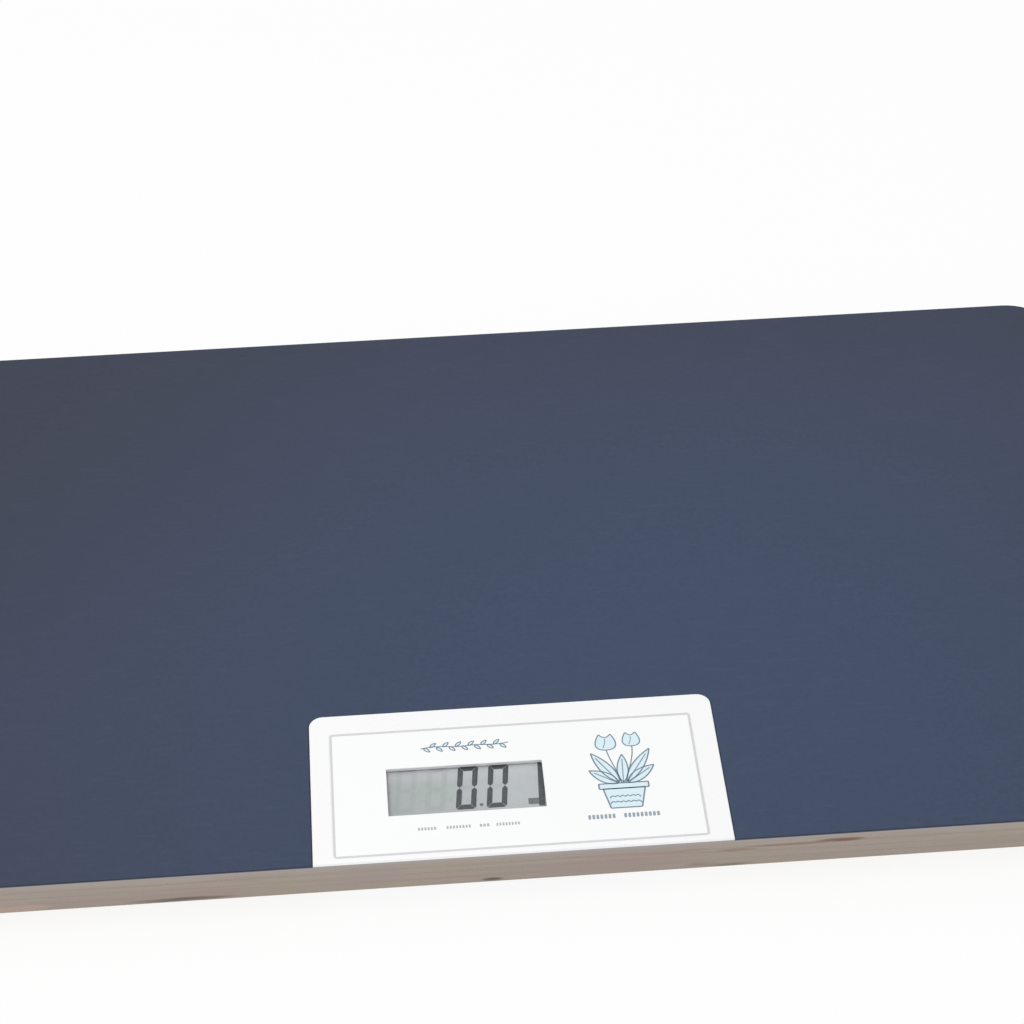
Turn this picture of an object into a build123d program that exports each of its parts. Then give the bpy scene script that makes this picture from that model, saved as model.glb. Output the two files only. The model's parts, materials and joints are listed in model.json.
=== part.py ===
"""Platform scale: a plywood board on four load-cell feet, with a display unit let into its front edge.

Millimetres. +X is right, +Y is back, +Z is up. The origin is on the floor, under the middle of the board.
"""

import os

from build123d import *

# Platform board: plywood core, coloured facing on top, thin backing sheet below
board_width = 600.0
board_depth = 350.0
board_corner_radius = 25.0
core_thickness = 16.0
facing_thickness = 1.0
backing_thickness = 0.5
facing_chamfer = 0.35
backing_chamfer = 0.3
ground_clearance = 14.0

# Display unit: its moulded plate lies on the core, and its box hangs in a cut-out of the board
plate_thickness = 1.6
plate_corner_radius = 6.0
plate_edge_round = 0.5
facing_gap = 0.25
side_ledge = 10.0
front_ledge = 12.0
back_ledge = 11.0
cutout_corner_radius = 5.0
box_clearance = 0.5
box_wall = 2.0
box_floor_gap = 0.2

# Printed label in a shallow recess of the plate
label_left = 8.5
label_right = 9.75
label_front = 2.2
label_back = 11.1
label_thickness = 0.25
label_sink = 0.05
label_gap = 0.2
label_corner_radius = 1.5

# Display window and the liquid-crystal cell under it
window_width = 67.0
window_depth = 27.0
window_front = 24.0
window_corner_radius = 0.4
lens_border = 2.0
lens_thickness = 1.0
cell_border = 3.0
cell_glass = 1.4
cell_gap = 0.1
frame_wall = 1.6
frame_clearance = 0.2
strip_width = 2.4
strip_height = 5.0
strip_end_gap = 4.0

# Circuit board, its posts and its screws
circuit_thickness = 1.6
circuit_left_margin = 5.6
circuit_right_margin = 1.9
circuit_wall_gap = 1.0
circuit_post_diameter = 4.8
circuit_post_inset = 2.6
circuit_screw_diameter = 2.0
circuit_screw_length = 5.0
circuit_screw_head_diameter = 4.0
circuit_screw_head_height = 1.4

# Lead sockets and plugs on the underside of the circuit board
socket_width = 8.4
socket_height = 4.2
socket_wall = 0.5
plug_clearance = 0.1
plug_seat = 4.2
plug_overhang = 0.7
socket_pitch = 15.0
first_socket_from_left = 21.0

# Other parts on the underside of the circuit board
processor_size = 12.0
processor_height = 1.6
processor_from_front = 13.5
converter_length = 10.0
converter_width = 4.0
converter_height = 1.5
converter_from_right = 10.0
converter_from_front = 12.0
chip_lead_width = 0.4
chip_lead_thickness = 0.25
chip_lead_reach = 1.0
chip_lead_pitch = 1.27
crystal_length = 10.5
crystal_width = 4.0
crystal_height = 3.2
crystal_from_front = 24.0
capacitor_diameter = 5.0
capacitor_height = 4.4
capacitor_pitch = 7.0
capacitor_from_right = 11.5
capacitor_from_front = 37.0
resistor_length = 2.0
resistor_width = 1.25
resistor_height = 0.5
resistor_pitch_x = 4.0
resistor_pitch_y = 2.5
resistor_count_x = 4
resistor_count_y = 2
resistor_from_front = 31.0

# Tap sensor under the plate, which wakes the scale
tap_disc_diameter = 15.0
tap_disc_thickness = 0.3
tap_crystal_diameter = 10.0
tap_crystal_thickness = 0.25

# Thin wires inside the display unit
battery_wire_diameter = 1.2
battery_wire_rise = 1.1
battery_wire_out = 2.0
battery_wire_bend = 1.5
battery_wire_ends_from_right = (0.9, 8.0)
tap_wire_diameter = 0.8
tap_wire_rise = 1.0
tap_wire_pitch = 2.0
tap_wire_from_back = 8.0
tap_wire_bend = 1.5
tap_wire_ends_from_right = (6.0, 9.0)

# Rear cover with its battery bay, screwed up into the box
cover_thickness = 2.4
cover_overlap = 6.0
cover_corner_radius = 6.0
cover_edge_chamfer = 0.5
spigot_height = 1.2
spigot_clearance = 0.3
post_zone = 9.5
post_diameter = 7.0
post_inset = 4.25
cover_screw_diameter = 2.9
cover_screw_length = 10.0
cover_screw_head_diameter = 5.6
screw_clearance = 0.1

# Batteries and their bay
battery_count = 4
battery_diameter = 10.5
battery_length = 44.5
battery_nub_diameter = 3.8
battery_nub_length = 0.8
battery_pitch_gap = 0.4
battery_side_gap = 0.4
battery_end_gap = 0.1
bay_wall = 1.2
bay_roof = 1.4
bay_head_room = 0.3
bay_box_gap = 2.85
bay_circuit_gap = 1.5
contact_thickness = 0.4
contact_width = 7.0
contact_height = 8.0
spring_depth = 3.4
spring_crown = 1.6
tab_width = 2.5
tab_reach = 2.0
tab_clearance = 0.2

# Sliding battery door
door_lip = 1.5
door_clearance = 0.2
door_top_gap = 0.2
door_tongue_reach = 0.8
door_tongue_thickness = 0.8
grip_rib_count = 6
grip_rib_width = 0.9
grip_rib_length = 24.0
grip_rib_height = 0.4
grip_rib_pitch = 2.4
grip_rib_margin = 5.0

# Unit button, reached through the rear cover, and the switch that it presses
button_diameter = 7.0
button_clearance = 0.2
button_sink = 0.5
button_edge_round = 0.6
button_flange_diameter = 9.4
button_flange_thickness = 0.6
button_stem_diameter = 4.0
button_travel = 0.6
button_from_left = 22.0
button_from_front = 18.0
switch_size = 6.0
switch_height = 3.0
plunger_diameter = 3.4
plunger_clearance = 0.1
plunger_reach = 0.8
plunger_depth = 1.6

# Corner sensors: a carrier let into the board holds a load cell, which the foot pushes up
sensor_inset_x = 52.0
sensor_inset_y = 52.0
load_cell_size = 34.0
load_cell_thickness = 3.0
load_cell_rise = 3.7
load_cell_corner_radius = 3.0
beam_width = 12.0
beam_slot = 1.8
beam_tip_margin = 5.0
beam_root_margin = 7.0
bend_room = 1.5
seat_width = 2.4
carrier_clearance = 0.8
carrier_wall = 2.0
carrier_roof = 2.0
carrier_flange_thickness = 2.5
carrier_flange_width = 7.5
carrier_edge_chamfer = 0.6
pocket_clearance = 0.5
pocket_roof_gap = 0.3
carrier_screw_count = 3
carrier_screw_start = 60
carrier_screw_diameter = 2.9
carrier_screw_length = 11.0
carrier_screw_head_diameter = 5.6
gauge_length = 8.0
gauge_width = 6.0
gauge_thickness = 0.7
gauge_round = 0.3
gauge_from_middle = 4.5
gauge_wire_diameter = 0.6
gauge_wire_pitch = 1.0
gauge_wire_gap = 0.9
gauge_wire_bend = 0.6
gauge_notch_clearance = 0.4
cell_screw_diameter = 2.5
cell_screw_grip = 1.2
cell_screw_head_diameter = 4.4
cell_screw_head_height = 1.2
cell_screw_inset = 3.6

# Feet: a moulded foot with a rubber pad, held to the load cell by a screw
foot_diameter = 42.0
foot_height = 6.0
foot_bottom_round = 0.7
foot_top_round = 1.5
foot_neck_diameter = 14.0
foot_collar_diameter = 26.0
foot_collar_height = 2.5
foot_gap = 2.0
foot_travel = 0.5
pad_diameter = 37.0
pad_thickness = 4.0
pad_sink = 1.5
pad_groove_width = 1.6
pad_groove_depth = 0.8
pad_groove_radius = 12.0
pad_hole_diameter = 8.0
foot_screw_diameter = 3.0
foot_screw_clearance = 0.1
foot_screw_head_diameter = 5.8
foot_screw_head_height = 2.2
foot_screw_tip = 0.6
foot_screw_sink = 2.5

# Sensor leads, lying in grooves of the underside under small nailed clips
lead_diameter = 2.6
groove_width = 4.2
groove_roof_gap = 0.2
groove_bend_radius = 30.0
lead_slot_clearance = 0.3
lead_end_gap = 2.0
detour_x = 112.0
detour_y = -12.0
clip_length = 14.0
clip_width = 9.0
clip_corner_radius = 2.0
clip_thickness = 1.2
clip_rib_width = 3.2
clip_lead_gap = 0.05
clip_spacing = 85.0
nail_offset = 4.6
nail_diameter = 1.4
nail_length = 8.0
nail_head_diameter = 3.2
nail_head_height = 0.5

# Cross recess of every screw head, as shares of the head's diameter and height
cross_span = 0.55
cross_slot = 0.12
cross_depth = 0.5
pan_head_round = 0.4

# Heights
underside_z = ground_clearance
core_bottom_z = underside_z + backing_thickness
core_top_z = core_bottom_z + core_thickness
cell_top_z = core_top_z - lens_thickness - cell_gap
cell_bottom_z = cell_top_z - 2 * cell_glass
circuit_top_z = cell_bottom_z - strip_height
circuit_bottom_z = circuit_top_z - circuit_thickness
cover_bottom_z = underside_z - cover_thickness
spigot_top_z = underside_z + spigot_height
post_bottom_z = spigot_top_z + box_floor_gap
lead_z = circuit_bottom_z - socket_height / 2
lead_slot_top_z = lead_z + lead_diameter / 2 + lead_slot_clearance

# The box is as wide as the display cell and the battery bay that stand side by side in it
front_y = -board_depth / 2
cell_width = window_width + 2 * cell_border
cell_depth = window_depth + 2 * cell_border
frame_width = cell_width + 2 * (frame_wall + frame_clearance)
frame_depth = cell_depth + 2 * (frame_wall + frame_clearance)
circuit_width = circuit_left_margin + frame_width + circuit_right_margin
battery_pitch = battery_diameter + battery_pitch_gap
bay_width = (battery_count - 1) * battery_pitch + battery_diameter + 2 * battery_side_gap
bay_depth = battery_length + contact_thickness + spring_depth + battery_end_gap
box_inner_width = 2 * post_zone + circuit_width + bay_circuit_gap + bay_width + 2 * bay_wall
box_inner_depth = bay_depth + 2 * (bay_wall + bay_box_gap)
box_inner_radius = cutout_corner_radius - box_clearance - box_wall
box_width = box_inner_width + 2 * box_wall
box_depth = box_inner_depth + 2 * box_wall
cutout_width = box_width + 2 * box_clearance
cutout_depth = box_depth + 2 * box_clearance
plate_width = cutout_width + 2 * side_ledge
plate_depth = cutout_depth + front_ledge + back_ledge
unit_y = front_y + front_ledge + cutout_depth / 2

# Label on the plate
label_width = plate_width - label_left - label_right
label_depth = plate_depth - label_front - label_back
label_x = (label_left - label_right) / 2
label_y = front_y + label_front + label_depth / 2
plate_top_z = core_top_z + plate_thickness
label_bottom_z = plate_top_z - label_sink - label_thickness

# Places inside the box
box_left_x = -box_inner_width / 2
box_right_x = box_inner_width / 2
circuit_left_x = box_left_x + post_zone
circuit_right_x = circuit_left_x + circuit_width
circuit_x = (circuit_left_x + circuit_right_x) / 2
circuit_depth = box_inner_depth - 2 * circuit_wall_gap
circuit_back_y = unit_y + circuit_depth / 2
circuit_front_y = unit_y - circuit_depth / 2
cell_x = circuit_left_x + circuit_left_margin + frame_width / 2
cell_y = front_y + window_front + window_depth / 2
bay_x = box_right_x - post_zone - bay_wall - bay_width / 2
post_places = [
    (side * (box_inner_width / 2 - post_inset), unit_y + end * (box_inner_depth / 2 - post_inset))
    for side in (-1, 1)
    for end in (-1, 1)
]
circuit_post_places = [
    (circuit_left_x + circuit_post_inset, circuit_front_y + circuit_post_inset),
    (circuit_left_x + circuit_post_inset, circuit_back_y - circuit_post_inset),
    (circuit_right_x - circuit_post_inset, circuit_back_y - circuit_post_inset),
]

# Battery bay
battery_z = underside_z + bay_head_room + battery_diameter / 2
bay_top_z = battery_z + battery_diameter / 2 + bay_head_room
bay_roof_z = bay_top_z + bay_roof
battery_xs = [bay_x + (n - (battery_count - 1) / 2) * battery_pitch for n in range(battery_count)]
bay_front_y = unit_y - bay_depth / 2
bay_back_y = unit_y + bay_depth / 2
front_contacts = [[0]] + [[n, min(n + 1, battery_count - 1)] for n in range(1, battery_count, 2)]
back_contacts = [[n, min(n + 1, battery_count - 1)] for n in range(0, battery_count, 2)]
end_contacts = [(front_contacts, bay_front_y, 1, 0), (back_contacts, bay_back_y, -1, 1)]
tab_xs = [battery_xs[0], battery_xs[-1]]

# Battery door and its track
door_width = bay_width + 2 * door_lip
door_front_y = bay_front_y - door_lip
cover_back_y = unit_y + cutout_depth / 2 + cover_overlap
door_length = cover_back_y - door_front_y
door_top_z = underside_z - door_top_gap
door_travel = bay_depth + door_lip
tongue_z = (cover_bottom_z + door_top_z) / 2
track_width = door_width + 2 * door_clearance

# Unit button
button_x = circuit_left_x + button_from_left
button_y = circuit_front_y + button_from_front
button_bottom_z = cover_bottom_z + button_sink
switch_bottom_z = circuit_bottom_z - switch_height
button_top_z = switch_bottom_z - plunger_reach

# Corner sensors
load_cell_bottom_z = underside_z + load_cell_rise
load_cell_top_z = load_cell_bottom_z + load_cell_thickness
carrier_roof_z = load_cell_top_z + bend_room
carrier_top_z = carrier_roof_z + carrier_roof
carrier_bottom_z = underside_z - carrier_flange_thickness
pocket_top_z = carrier_top_z + pocket_roof_gap
carrier_inner_radius = load_cell_size / 2 * 2**0.5 + carrier_clearance
carrier_radius = carrier_inner_radius + carrier_wall
pocket_radius = carrier_radius + pocket_clearance
carrier_flange_radius = pocket_radius + carrier_flange_width
carrier_screw_radius = pocket_radius + carrier_flange_width / 2
carrier_countersink = (carrier_screw_head_diameter - carrier_screw_diameter) / 2
cell_screw_spacing = load_cell_size - 2 * cell_screw_inset
beam_length = load_cell_size - beam_tip_margin - beam_root_margin
beam_x = (beam_tip_margin - beam_root_margin) / 2
gauge_x = gauge_from_middle + gauge_length / 2
gauge_notch_width = 2 * gauge_wire_pitch + gauge_wire_diameter + 2 * gauge_notch_clearance
foot_opening_radius = foot_diameter / 2 + foot_gap
foot_bottom_z = pad_thickness - pad_sink
foot_top_z = foot_bottom_z + foot_height
foot_screw_z = pad_thickness + foot_screw_sink
sensor_x = board_width / 2 - sensor_inset_x
sensor_y = board_depth / 2 - sensor_inset_y
lead_start = load_cell_size / 2 + lead_end_gap

# Each corner's own plane has its +X towards the middle of the board, where the lead leaves
corner_names = ["front_left", "front_right", "back_left", "back_right"]
corner_planes = [
    Plane(origin=(side * sensor_x, end * sensor_y, 0), x_dir=(-side, 0, 0), z_dir=(0, 0, 1))
    for end in (-1, 1)
    for side in (-1, 1)
]

# Lead routes, in the order of the corners, each from its sensor to its plug
plug_back_y = circuit_back_y + plug_overhang
plug_left_x = circuit_left_x - plug_overhang
entry_xs = [circuit_left_x + first_socket_from_left + n * socket_pitch for n in range(3)]
lead_routes = [
    [(-sensor_x + lead_start, -sensor_y), (plug_left_x, -sensor_y)],
    [
        (sensor_x - lead_start, -sensor_y),
        (detour_x, -sensor_y),
        (detour_x, detour_y),
        (entry_xs[2], detour_y),
        (entry_xs[2], plug_back_y),
    ],
    [(-sensor_x + lead_start, sensor_y), (entry_xs[0], sensor_y), (entry_xs[0], plug_back_y)],
    [(sensor_x - lead_start, sensor_y), (entry_xs[1], sensor_y), (entry_xs[1], plug_back_y)],
]
lead_slot_width = lead_diameter + 2 * lead_slot_clearance


def route_line(route):
    """Adds a lead's centre line to the line being built."""
    if len(route) == 2:
        return Line(*route)
    return FilletPolyline(*route, radius=groove_bend_radius)


def clear_of_pieces(point):
    """True where a clip would not meet the sensor carriers or the rear cover."""
    beside_cover = abs(point.X) > cutout_width / 2 + cover_overlap + clip_width
    behind_cover = point.Y > cover_back_y + clip_width
    beside_sensor = abs(point.X) < sensor_x - carrier_flange_radius - clip_width
    return (beside_cover or behind_cover) and beside_sensor


def clip_planes():
    """The plane of each lead clip: on the underside, with its +X across the groove."""
    planes = []
    for route in lead_routes:
        for start, end in zip(route, route[1:]):
            run = Vector(*end) - Vector(*start)
            count = int(run.length // clip_spacing)
            for n in range(count):
                middle = Vector(*start) + run * ((n + 0.5) / count)
                across = (-run.Y, run.X, 0)
                planes.append(Plane(origin=(middle.X, middle.Y, underside_z), x_dir=across, z_dir=(0, 0, 1)))
    return [plane for plane in planes if clear_of_pieces(plane.origin)]


def carrier_screw_spots(z):
    """Where the screws of all four carriers are, at one height."""
    ring = PolarLocations(carrier_screw_radius, carrier_screw_count, start_angle=carrier_screw_start)
    spots = [corner.from_local_coords(place.position) for corner in corner_planes for place in ring.locations]
    return [(spot.X, spot.Y, z) for spot in spots]


def load_cell_screw_spots(z):
    """Where the corner screws of all four load cells are, at one height."""
    return [
        (corner.origin.X + side * cell_screw_spacing / 2, corner.origin.Y + end * cell_screw_spacing / 2, z)
        for corner in corner_planes
        for side in (-1, 1)
        for end in (-1, 1)
    ]


def countersunk_screw(diameter, length, head_diameter):
    """A flat-headed screw that goes up from the origin, with a cross recess in its head."""
    head, shank = head_diameter / 2, diameter / 2
    with BuildPart() as screw:
        with BuildSketch(Plane.XZ):
            with BuildLine():
                Polyline((0, 0), (head, 0), (shank, head - shank), (shank, length), (0, length), close=True)
            make_face()
        revolve(axis=Axis.Z)
        with BuildSketch():
            Rectangle(head_diameter * cross_span, head_diameter * cross_slot)
            Rectangle(head_diameter * cross_slot, head_diameter * cross_span)
        extrude(amount=(head - shank) * cross_depth, mode=Mode.SUBTRACT)
    return screw.part


def pan_screw(diameter, length, head_diameter, head_height):
    """A pan-headed screw whose head lies below the origin and whose shank goes up from it."""
    with BuildPart() as screw:
        with BuildSketch(Plane.XY.offset(-head_height)):
            Circle(head_diameter / 2)
        extrude(amount=head_height)
        fillet(screw.edges().group_by(Axis.Z)[0], head_height * pan_head_round)
        with BuildSketch():
            Circle(diameter / 2)
        extrude(amount=length)
        with BuildSketch(Plane.XY.offset(-head_height)):
            Rectangle(head_diameter * cross_span, head_diameter * cross_slot)
            Rectangle(head_diameter * cross_slot, head_diameter * cross_span)
        extrude(amount=head_height * cross_depth, mode=Mode.SUBTRACT)
    return screw.part


def save(piece, name):
    """Labels a finished piece and writes it as one STEP file."""
    piece.part.label = name
    export_step(piece.part, f"parts/{name}.step")


os.makedirs("parts", exist_ok=True)

# Plywood core, with the display cut-out, the sensor pockets and the grooves for the leads
with BuildPart() as platform_board:
    with BuildSketch(Plane.XY.offset(core_bottom_z)):
        RectangleRounded(board_width, board_depth, board_corner_radius)
    extrude(amount=core_thickness)
    with BuildSketch(Plane.XY.offset(core_bottom_z)):
        with Locations((0, unit_y)):
            RectangleRounded(cutout_width, cutout_depth, cutout_corner_radius)
    extrude(amount=core_thickness, mode=Mode.SUBTRACT)
    for corner in corner_planes:
        with BuildSketch(corner.offset(core_bottom_z)):
            Circle(pocket_radius)
        extrude(amount=pocket_top_z - core_bottom_z, mode=Mode.SUBTRACT)
    for route in lead_routes:
        with BuildSketch(Plane.XY.offset(core_bottom_z)):
            with BuildLine():
                route_line(route)
            trace(line_width=groove_width)
        extrude(amount=lead_z + lead_diameter / 2 + groove_roof_gap - core_bottom_z, mode=Mode.SUBTRACT)
    with Locations(*carrier_screw_spots(core_bottom_z)):
        Cylinder(
            carrier_screw_diameter / 2 + screw_clearance / 2,
            carrier_bottom_z + carrier_screw_length + screw_clearance - core_bottom_z,
            align=(Align.CENTER, Align.CENTER, Align.MIN),
            mode=Mode.SUBTRACT,
        )
    for clip in clip_planes():
        with BuildSketch(clip.offset(backing_thickness)):
            with Locations((-nail_offset, 0), (nail_offset, 0)):
                Circle(nail_diameter / 2 + screw_clearance / 2)
        extrude(amount=nail_length + screw_clearance - clip_thickness - backing_thickness, mode=Mode.SUBTRACT)
save(platform_board, "platform_board")

# Coloured facing, notched round the display plate
with BuildPart() as top_facing:
    with BuildSketch(Plane.XY.offset(core_top_z)):
        RectangleRounded(board_width, board_depth, board_corner_radius)
    extrude(amount=facing_thickness)
    with BuildSketch(Plane.XY.offset(core_top_z)) as notch:
        with Locations((0, front_y)):
            Rectangle(plate_width + 2 * facing_gap, 2 * (plate_depth + facing_gap))
        fillet(notch.vertices().group_by(Axis.Y)[-1], plate_corner_radius + facing_gap)
    extrude(amount=facing_thickness, mode=Mode.SUBTRACT)
    chamfer(top_facing.faces().sort_by(Axis.Z)[-1].outer_wire().edges(), facing_chamfer)
save(top_facing, "top_facing")

# Thin backing sheet, cut through wherever the core is
with BuildPart() as underside_backing:
    with BuildSketch(Plane.XY.offset(underside_z)):
        RectangleRounded(board_width, board_depth, board_corner_radius)
    extrude(amount=backing_thickness)
    chamfer(underside_backing.faces().sort_by(Axis.Z)[0].outer_wire().edges(), backing_chamfer)
    with BuildSketch(Plane.XY.offset(underside_z)):
        with Locations((0, unit_y)):
            RectangleRounded(cutout_width, cutout_depth, cutout_corner_radius)
        with Locations(*[corner.origin for corner in corner_planes]):
            Circle(pocket_radius)
        with Locations(*carrier_screw_spots(0)):
            Circle(carrier_screw_diameter / 2 + screw_clearance / 2)
    extrude(amount=backing_thickness, mode=Mode.SUBTRACT)
    for route in lead_routes:
        with BuildSketch(Plane.XY.offset(underside_z)):
            with BuildLine():
                route_line(route)
            trace(line_width=groove_width)
        extrude(amount=backing_thickness, mode=Mode.SUBTRACT)
    for clip in clip_planes():
        with BuildSketch(clip):
            with Locations((-nail_offset, 0), (nail_offset, 0)):
                Circle(nail_diameter / 2 + screw_clearance / 2)
        extrude(amount=backing_thickness, mode=Mode.SUBTRACT)
save(underside_backing, "underside_backing")

# Display housing: the white plate with the box and its screw posts under it
with BuildPart() as display_housing:
    with BuildSketch(Plane.XY.offset(core_top_z)) as plate:
        with Locations((0, front_y)):
            Rectangle(plate_width, plate_depth, align=(Align.CENTER, Align.MIN))
        fillet(plate.vertices().group_by(Axis.Y)[-1], plate_corner_radius)
    extrude(amount=plate_thickness)
    fillet(display_housing.faces().sort_by(Axis.Z)[-1].outer_wire().edges(), plate_edge_round)
    with BuildSketch(Plane.XY.offset(underside_z + box_floor_gap)):
        with Locations((0, unit_y)):
            RectangleRounded(box_width, box_depth, cutout_corner_radius - box_clearance)
            RectangleRounded(box_inner_width, box_inner_depth, box_inner_radius, mode=Mode.SUBTRACT)
    extrude(amount=core_top_z - underside_z - box_floor_gap)
    with BuildSketch(Plane.XY.offset(post_bottom_z)):
        with Locations(*post_places):
            Circle(post_diameter / 2)
    extrude(amount=core_top_z - post_bottom_z)
    with BuildSketch(Plane.XY.offset(circuit_top_z)):
        with Locations(*circuit_post_places):
            Circle(circuit_post_diameter / 2)
    extrude(amount=core_top_z - circuit_top_z)
    with BuildSketch(Plane.XY.offset(post_bottom_z)):
        with Locations(*post_places):
            Circle(cover_screw_diameter / 2 + screw_clearance / 2)
    extrude(amount=cover_bottom_z + cover_screw_length + screw_clearance - post_bottom_z, mode=Mode.SUBTRACT)
    with BuildSketch(Plane.XY.offset(circuit_top_z)):
        with Locations(*circuit_post_places):
            Circle(circuit_screw_diameter / 2 + screw_clearance / 2)
    extrude(amount=circuit_screw_length + screw_clearance - circuit_thickness, mode=Mode.SUBTRACT)
    with BuildSketch(Plane.XY.offset(label_bottom_z)):
        with Locations((label_x, label_y)):
            RectangleRounded(label_width, label_depth, label_corner_radius)
    extrude(amount=label_thickness + label_sink, mode=Mode.SUBTRACT)
    with BuildSketch(Plane.XY.offset(core_top_z)):
        with Locations((cell_x, cell_y)):
            RectangleRounded(window_width, window_depth, window_corner_radius)
    extrude(amount=plate_thickness, mode=Mode.SUBTRACT)
    with BuildSketch(Plane.XY.offset(underside_z)):
        with Locations(*[(x, unit_y + box_inner_depth / 2 + box_wall / 2) for x in entry_xs]):
            Rectangle(lead_slot_width, box_wall + box_clearance)
        with Locations((box_left_x - box_wall / 2, -sensor_y)):
            Rectangle(box_wall + box_clearance, lead_slot_width)
    extrude(amount=lead_slot_top_z - underside_z, mode=Mode.SUBTRACT)
save(display_housing, "display_housing")

# Printed label, open over the window
with BuildPart() as display_label:
    with BuildSketch(Plane.XY.offset(label_bottom_z)):
        with Locations((label_x, label_y)):
            RectangleRounded(
                label_width - 2 * label_gap, label_depth - 2 * label_gap, label_corner_radius - label_gap
            )
        with Locations((cell_x, cell_y)):
            RectangleRounded(window_width, window_depth, window_corner_radius, mode=Mode.SUBTRACT)
    extrude(amount=label_thickness)
save(display_label, "display_label")

# Clear window behind the plate
with BuildPart() as window_lens:
    with BuildSketch(Plane.XY.offset(core_top_z - lens_thickness)):
        with Locations((cell_x, cell_y)):
            RectangleRounded(window_width + 2 * lens_border, window_depth + 2 * lens_border, lens_border / 2)
    extrude(amount=lens_thickness)
save(window_lens, "window_lens")

# Liquid-crystal cell: two sheets of glass, the upper one reaching out over the contact strips
with BuildPart() as lcd_cell:
    with BuildSketch(Plane.XY.offset(cell_bottom_z)):
        with Locations((cell_x, cell_y)):
            Rectangle(cell_width, cell_depth - 2 * strip_width)
    extrude(amount=cell_glass)
    with BuildSketch(Plane.XY.offset(cell_bottom_z + cell_glass)):
        with Locations((cell_x, cell_y)):
            Rectangle(cell_width, cell_depth)
    extrude(amount=cell_glass)
save(lcd_cell, "lcd_cell")

# Frame that holds the cell over the circuit board
with BuildPart() as lcd_frame:
    with BuildSketch(Plane.XY.offset(circuit_top_z)):
        with Locations((cell_x, cell_y)):
            RectangleRounded(frame_width, frame_depth, frame_wall)
            Rectangle(frame_width - 2 * frame_wall, frame_depth - 2 * frame_wall, mode=Mode.SUBTRACT)
    extrude(amount=core_top_z - cell_gap - circuit_top_z)
save(lcd_frame, "lcd_frame")

# Elastomer strips that join the cell to the circuit board
with BuildPart() as contact_strips:
    with BuildSketch(Plane.XY.offset(circuit_top_z)):
        with Locations((cell_x, cell_y)):
            with GridLocations(0, cell_depth - strip_width, 1, 2):
                Rectangle(cell_width - 2 * strip_end_gap, strip_width)
    extrude(amount=strip_height + cell_glass)
save(contact_strips, "contact_strips")

# Circuit board, hung on three posts
with BuildPart() as circuit_board:
    with BuildSketch(Plane.XY.offset(circuit_bottom_z)):
        with Locations((circuit_x, unit_y)):
            RectangleRounded(circuit_width, circuit_depth, circuit_wall_gap)
        with Locations(*circuit_post_places):
            Circle(circuit_screw_diameter / 2 + screw_clearance / 2, mode=Mode.SUBTRACT)
    extrude(amount=circuit_thickness)
save(circuit_board, "circuit_board")

with BuildPart() as circuit_screws:
    with Locations(*[(x, y, circuit_bottom_z) for x, y in circuit_post_places]):
        add(
            pan_screw(
                circuit_screw_diameter,
                circuit_screw_length,
                circuit_screw_head_diameter,
                circuit_screw_head_height,
            )
        )
save(circuit_screws, "circuit_screws")

# Lead sockets under the edges of the circuit board: one on the left, three at the back
socket_planes = [
    Plane(origin=(circuit_left_x, -sensor_y, circuit_bottom_z), x_dir=(0, -1, 0), z_dir=(0, 0, 1)),
] + [
    Plane(origin=(x, circuit_back_y, circuit_bottom_z), x_dir=(-1, 0, 0), z_dir=(0, 0, 1)) for x in entry_xs
]
with BuildPart() as lead_sockets:
    for socket in socket_planes:
        with BuildSketch(socket.offset(-socket_height)):
            Rectangle(socket_width, plug_seat + socket_wall, align=(Align.CENTER, Align.MIN))
        extrude(amount=socket_height)
        with BuildSketch(socket.offset(socket_wall - socket_height)):
            Rectangle(socket_width - 2 * socket_wall, plug_seat, align=(Align.CENTER, Align.MIN))
        extrude(amount=socket_height - 2 * socket_wall, mode=Mode.SUBTRACT)
save(lead_sockets, "lead_sockets")

plug_inset = socket_wall + plug_clearance
with BuildPart() as lead_plugs:
    for socket in socket_planes:
        with BuildSketch(socket.offset(plug_inset - socket_height)):
            with Locations((0, -plug_overhang)):
                Rectangle(
                    socket_width - 2 * plug_inset, plug_seat + plug_overhang, align=(Align.CENTER, Align.MIN)
                )
        extrude(amount=socket_height - 2 * plug_inset)
save(lead_plugs, "lead_plugs")

# Processor and converter chips, with their leads
processor_y = circuit_front_y + processor_from_front
with BuildPart() as processor_chip:
    with BuildSketch(Plane.XY.offset(circuit_bottom_z - processor_height)):
        with Locations((circuit_x, processor_y)):
            Rectangle(processor_size, processor_size)
    extrude(amount=processor_height - chip_lead_thickness)
    with BuildSketch(Plane.XY.offset(circuit_bottom_z - chip_lead_thickness)):
        with Locations((circuit_x, processor_y)):
            with GridLocations(chip_lead_pitch, 0, int(processor_size / chip_lead_pitch) - 1, 1):
                Rectangle(chip_lead_width, processor_size + 2 * chip_lead_reach)
            with GridLocations(0, chip_lead_pitch, 1, int(processor_size / chip_lead_pitch) - 1):
                Rectangle(processor_size + 2 * chip_lead_reach, chip_lead_width)
    extrude(amount=chip_lead_thickness)
save(processor_chip, "processor_chip")

converter_x = circuit_right_x - converter_from_right
with BuildPart() as converter_chip:
    with BuildSketch(Plane.XY.offset(circuit_bottom_z - converter_height)):
        with Locations((converter_x, circuit_front_y + converter_from_front)):
            Rectangle(converter_length, converter_width)
    extrude(amount=converter_height - chip_lead_thickness)
    with BuildSketch(Plane.XY.offset(circuit_bottom_z - chip_lead_thickness)):
        with Locations((converter_x, circuit_front_y + converter_from_front)):
            with GridLocations(chip_lead_pitch, 0, int(converter_length / chip_lead_pitch), 1):
                Rectangle(chip_lead_width, converter_width + 2 * chip_lead_reach)
    extrude(amount=chip_lead_thickness)
save(converter_chip, "converter_chip")

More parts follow.
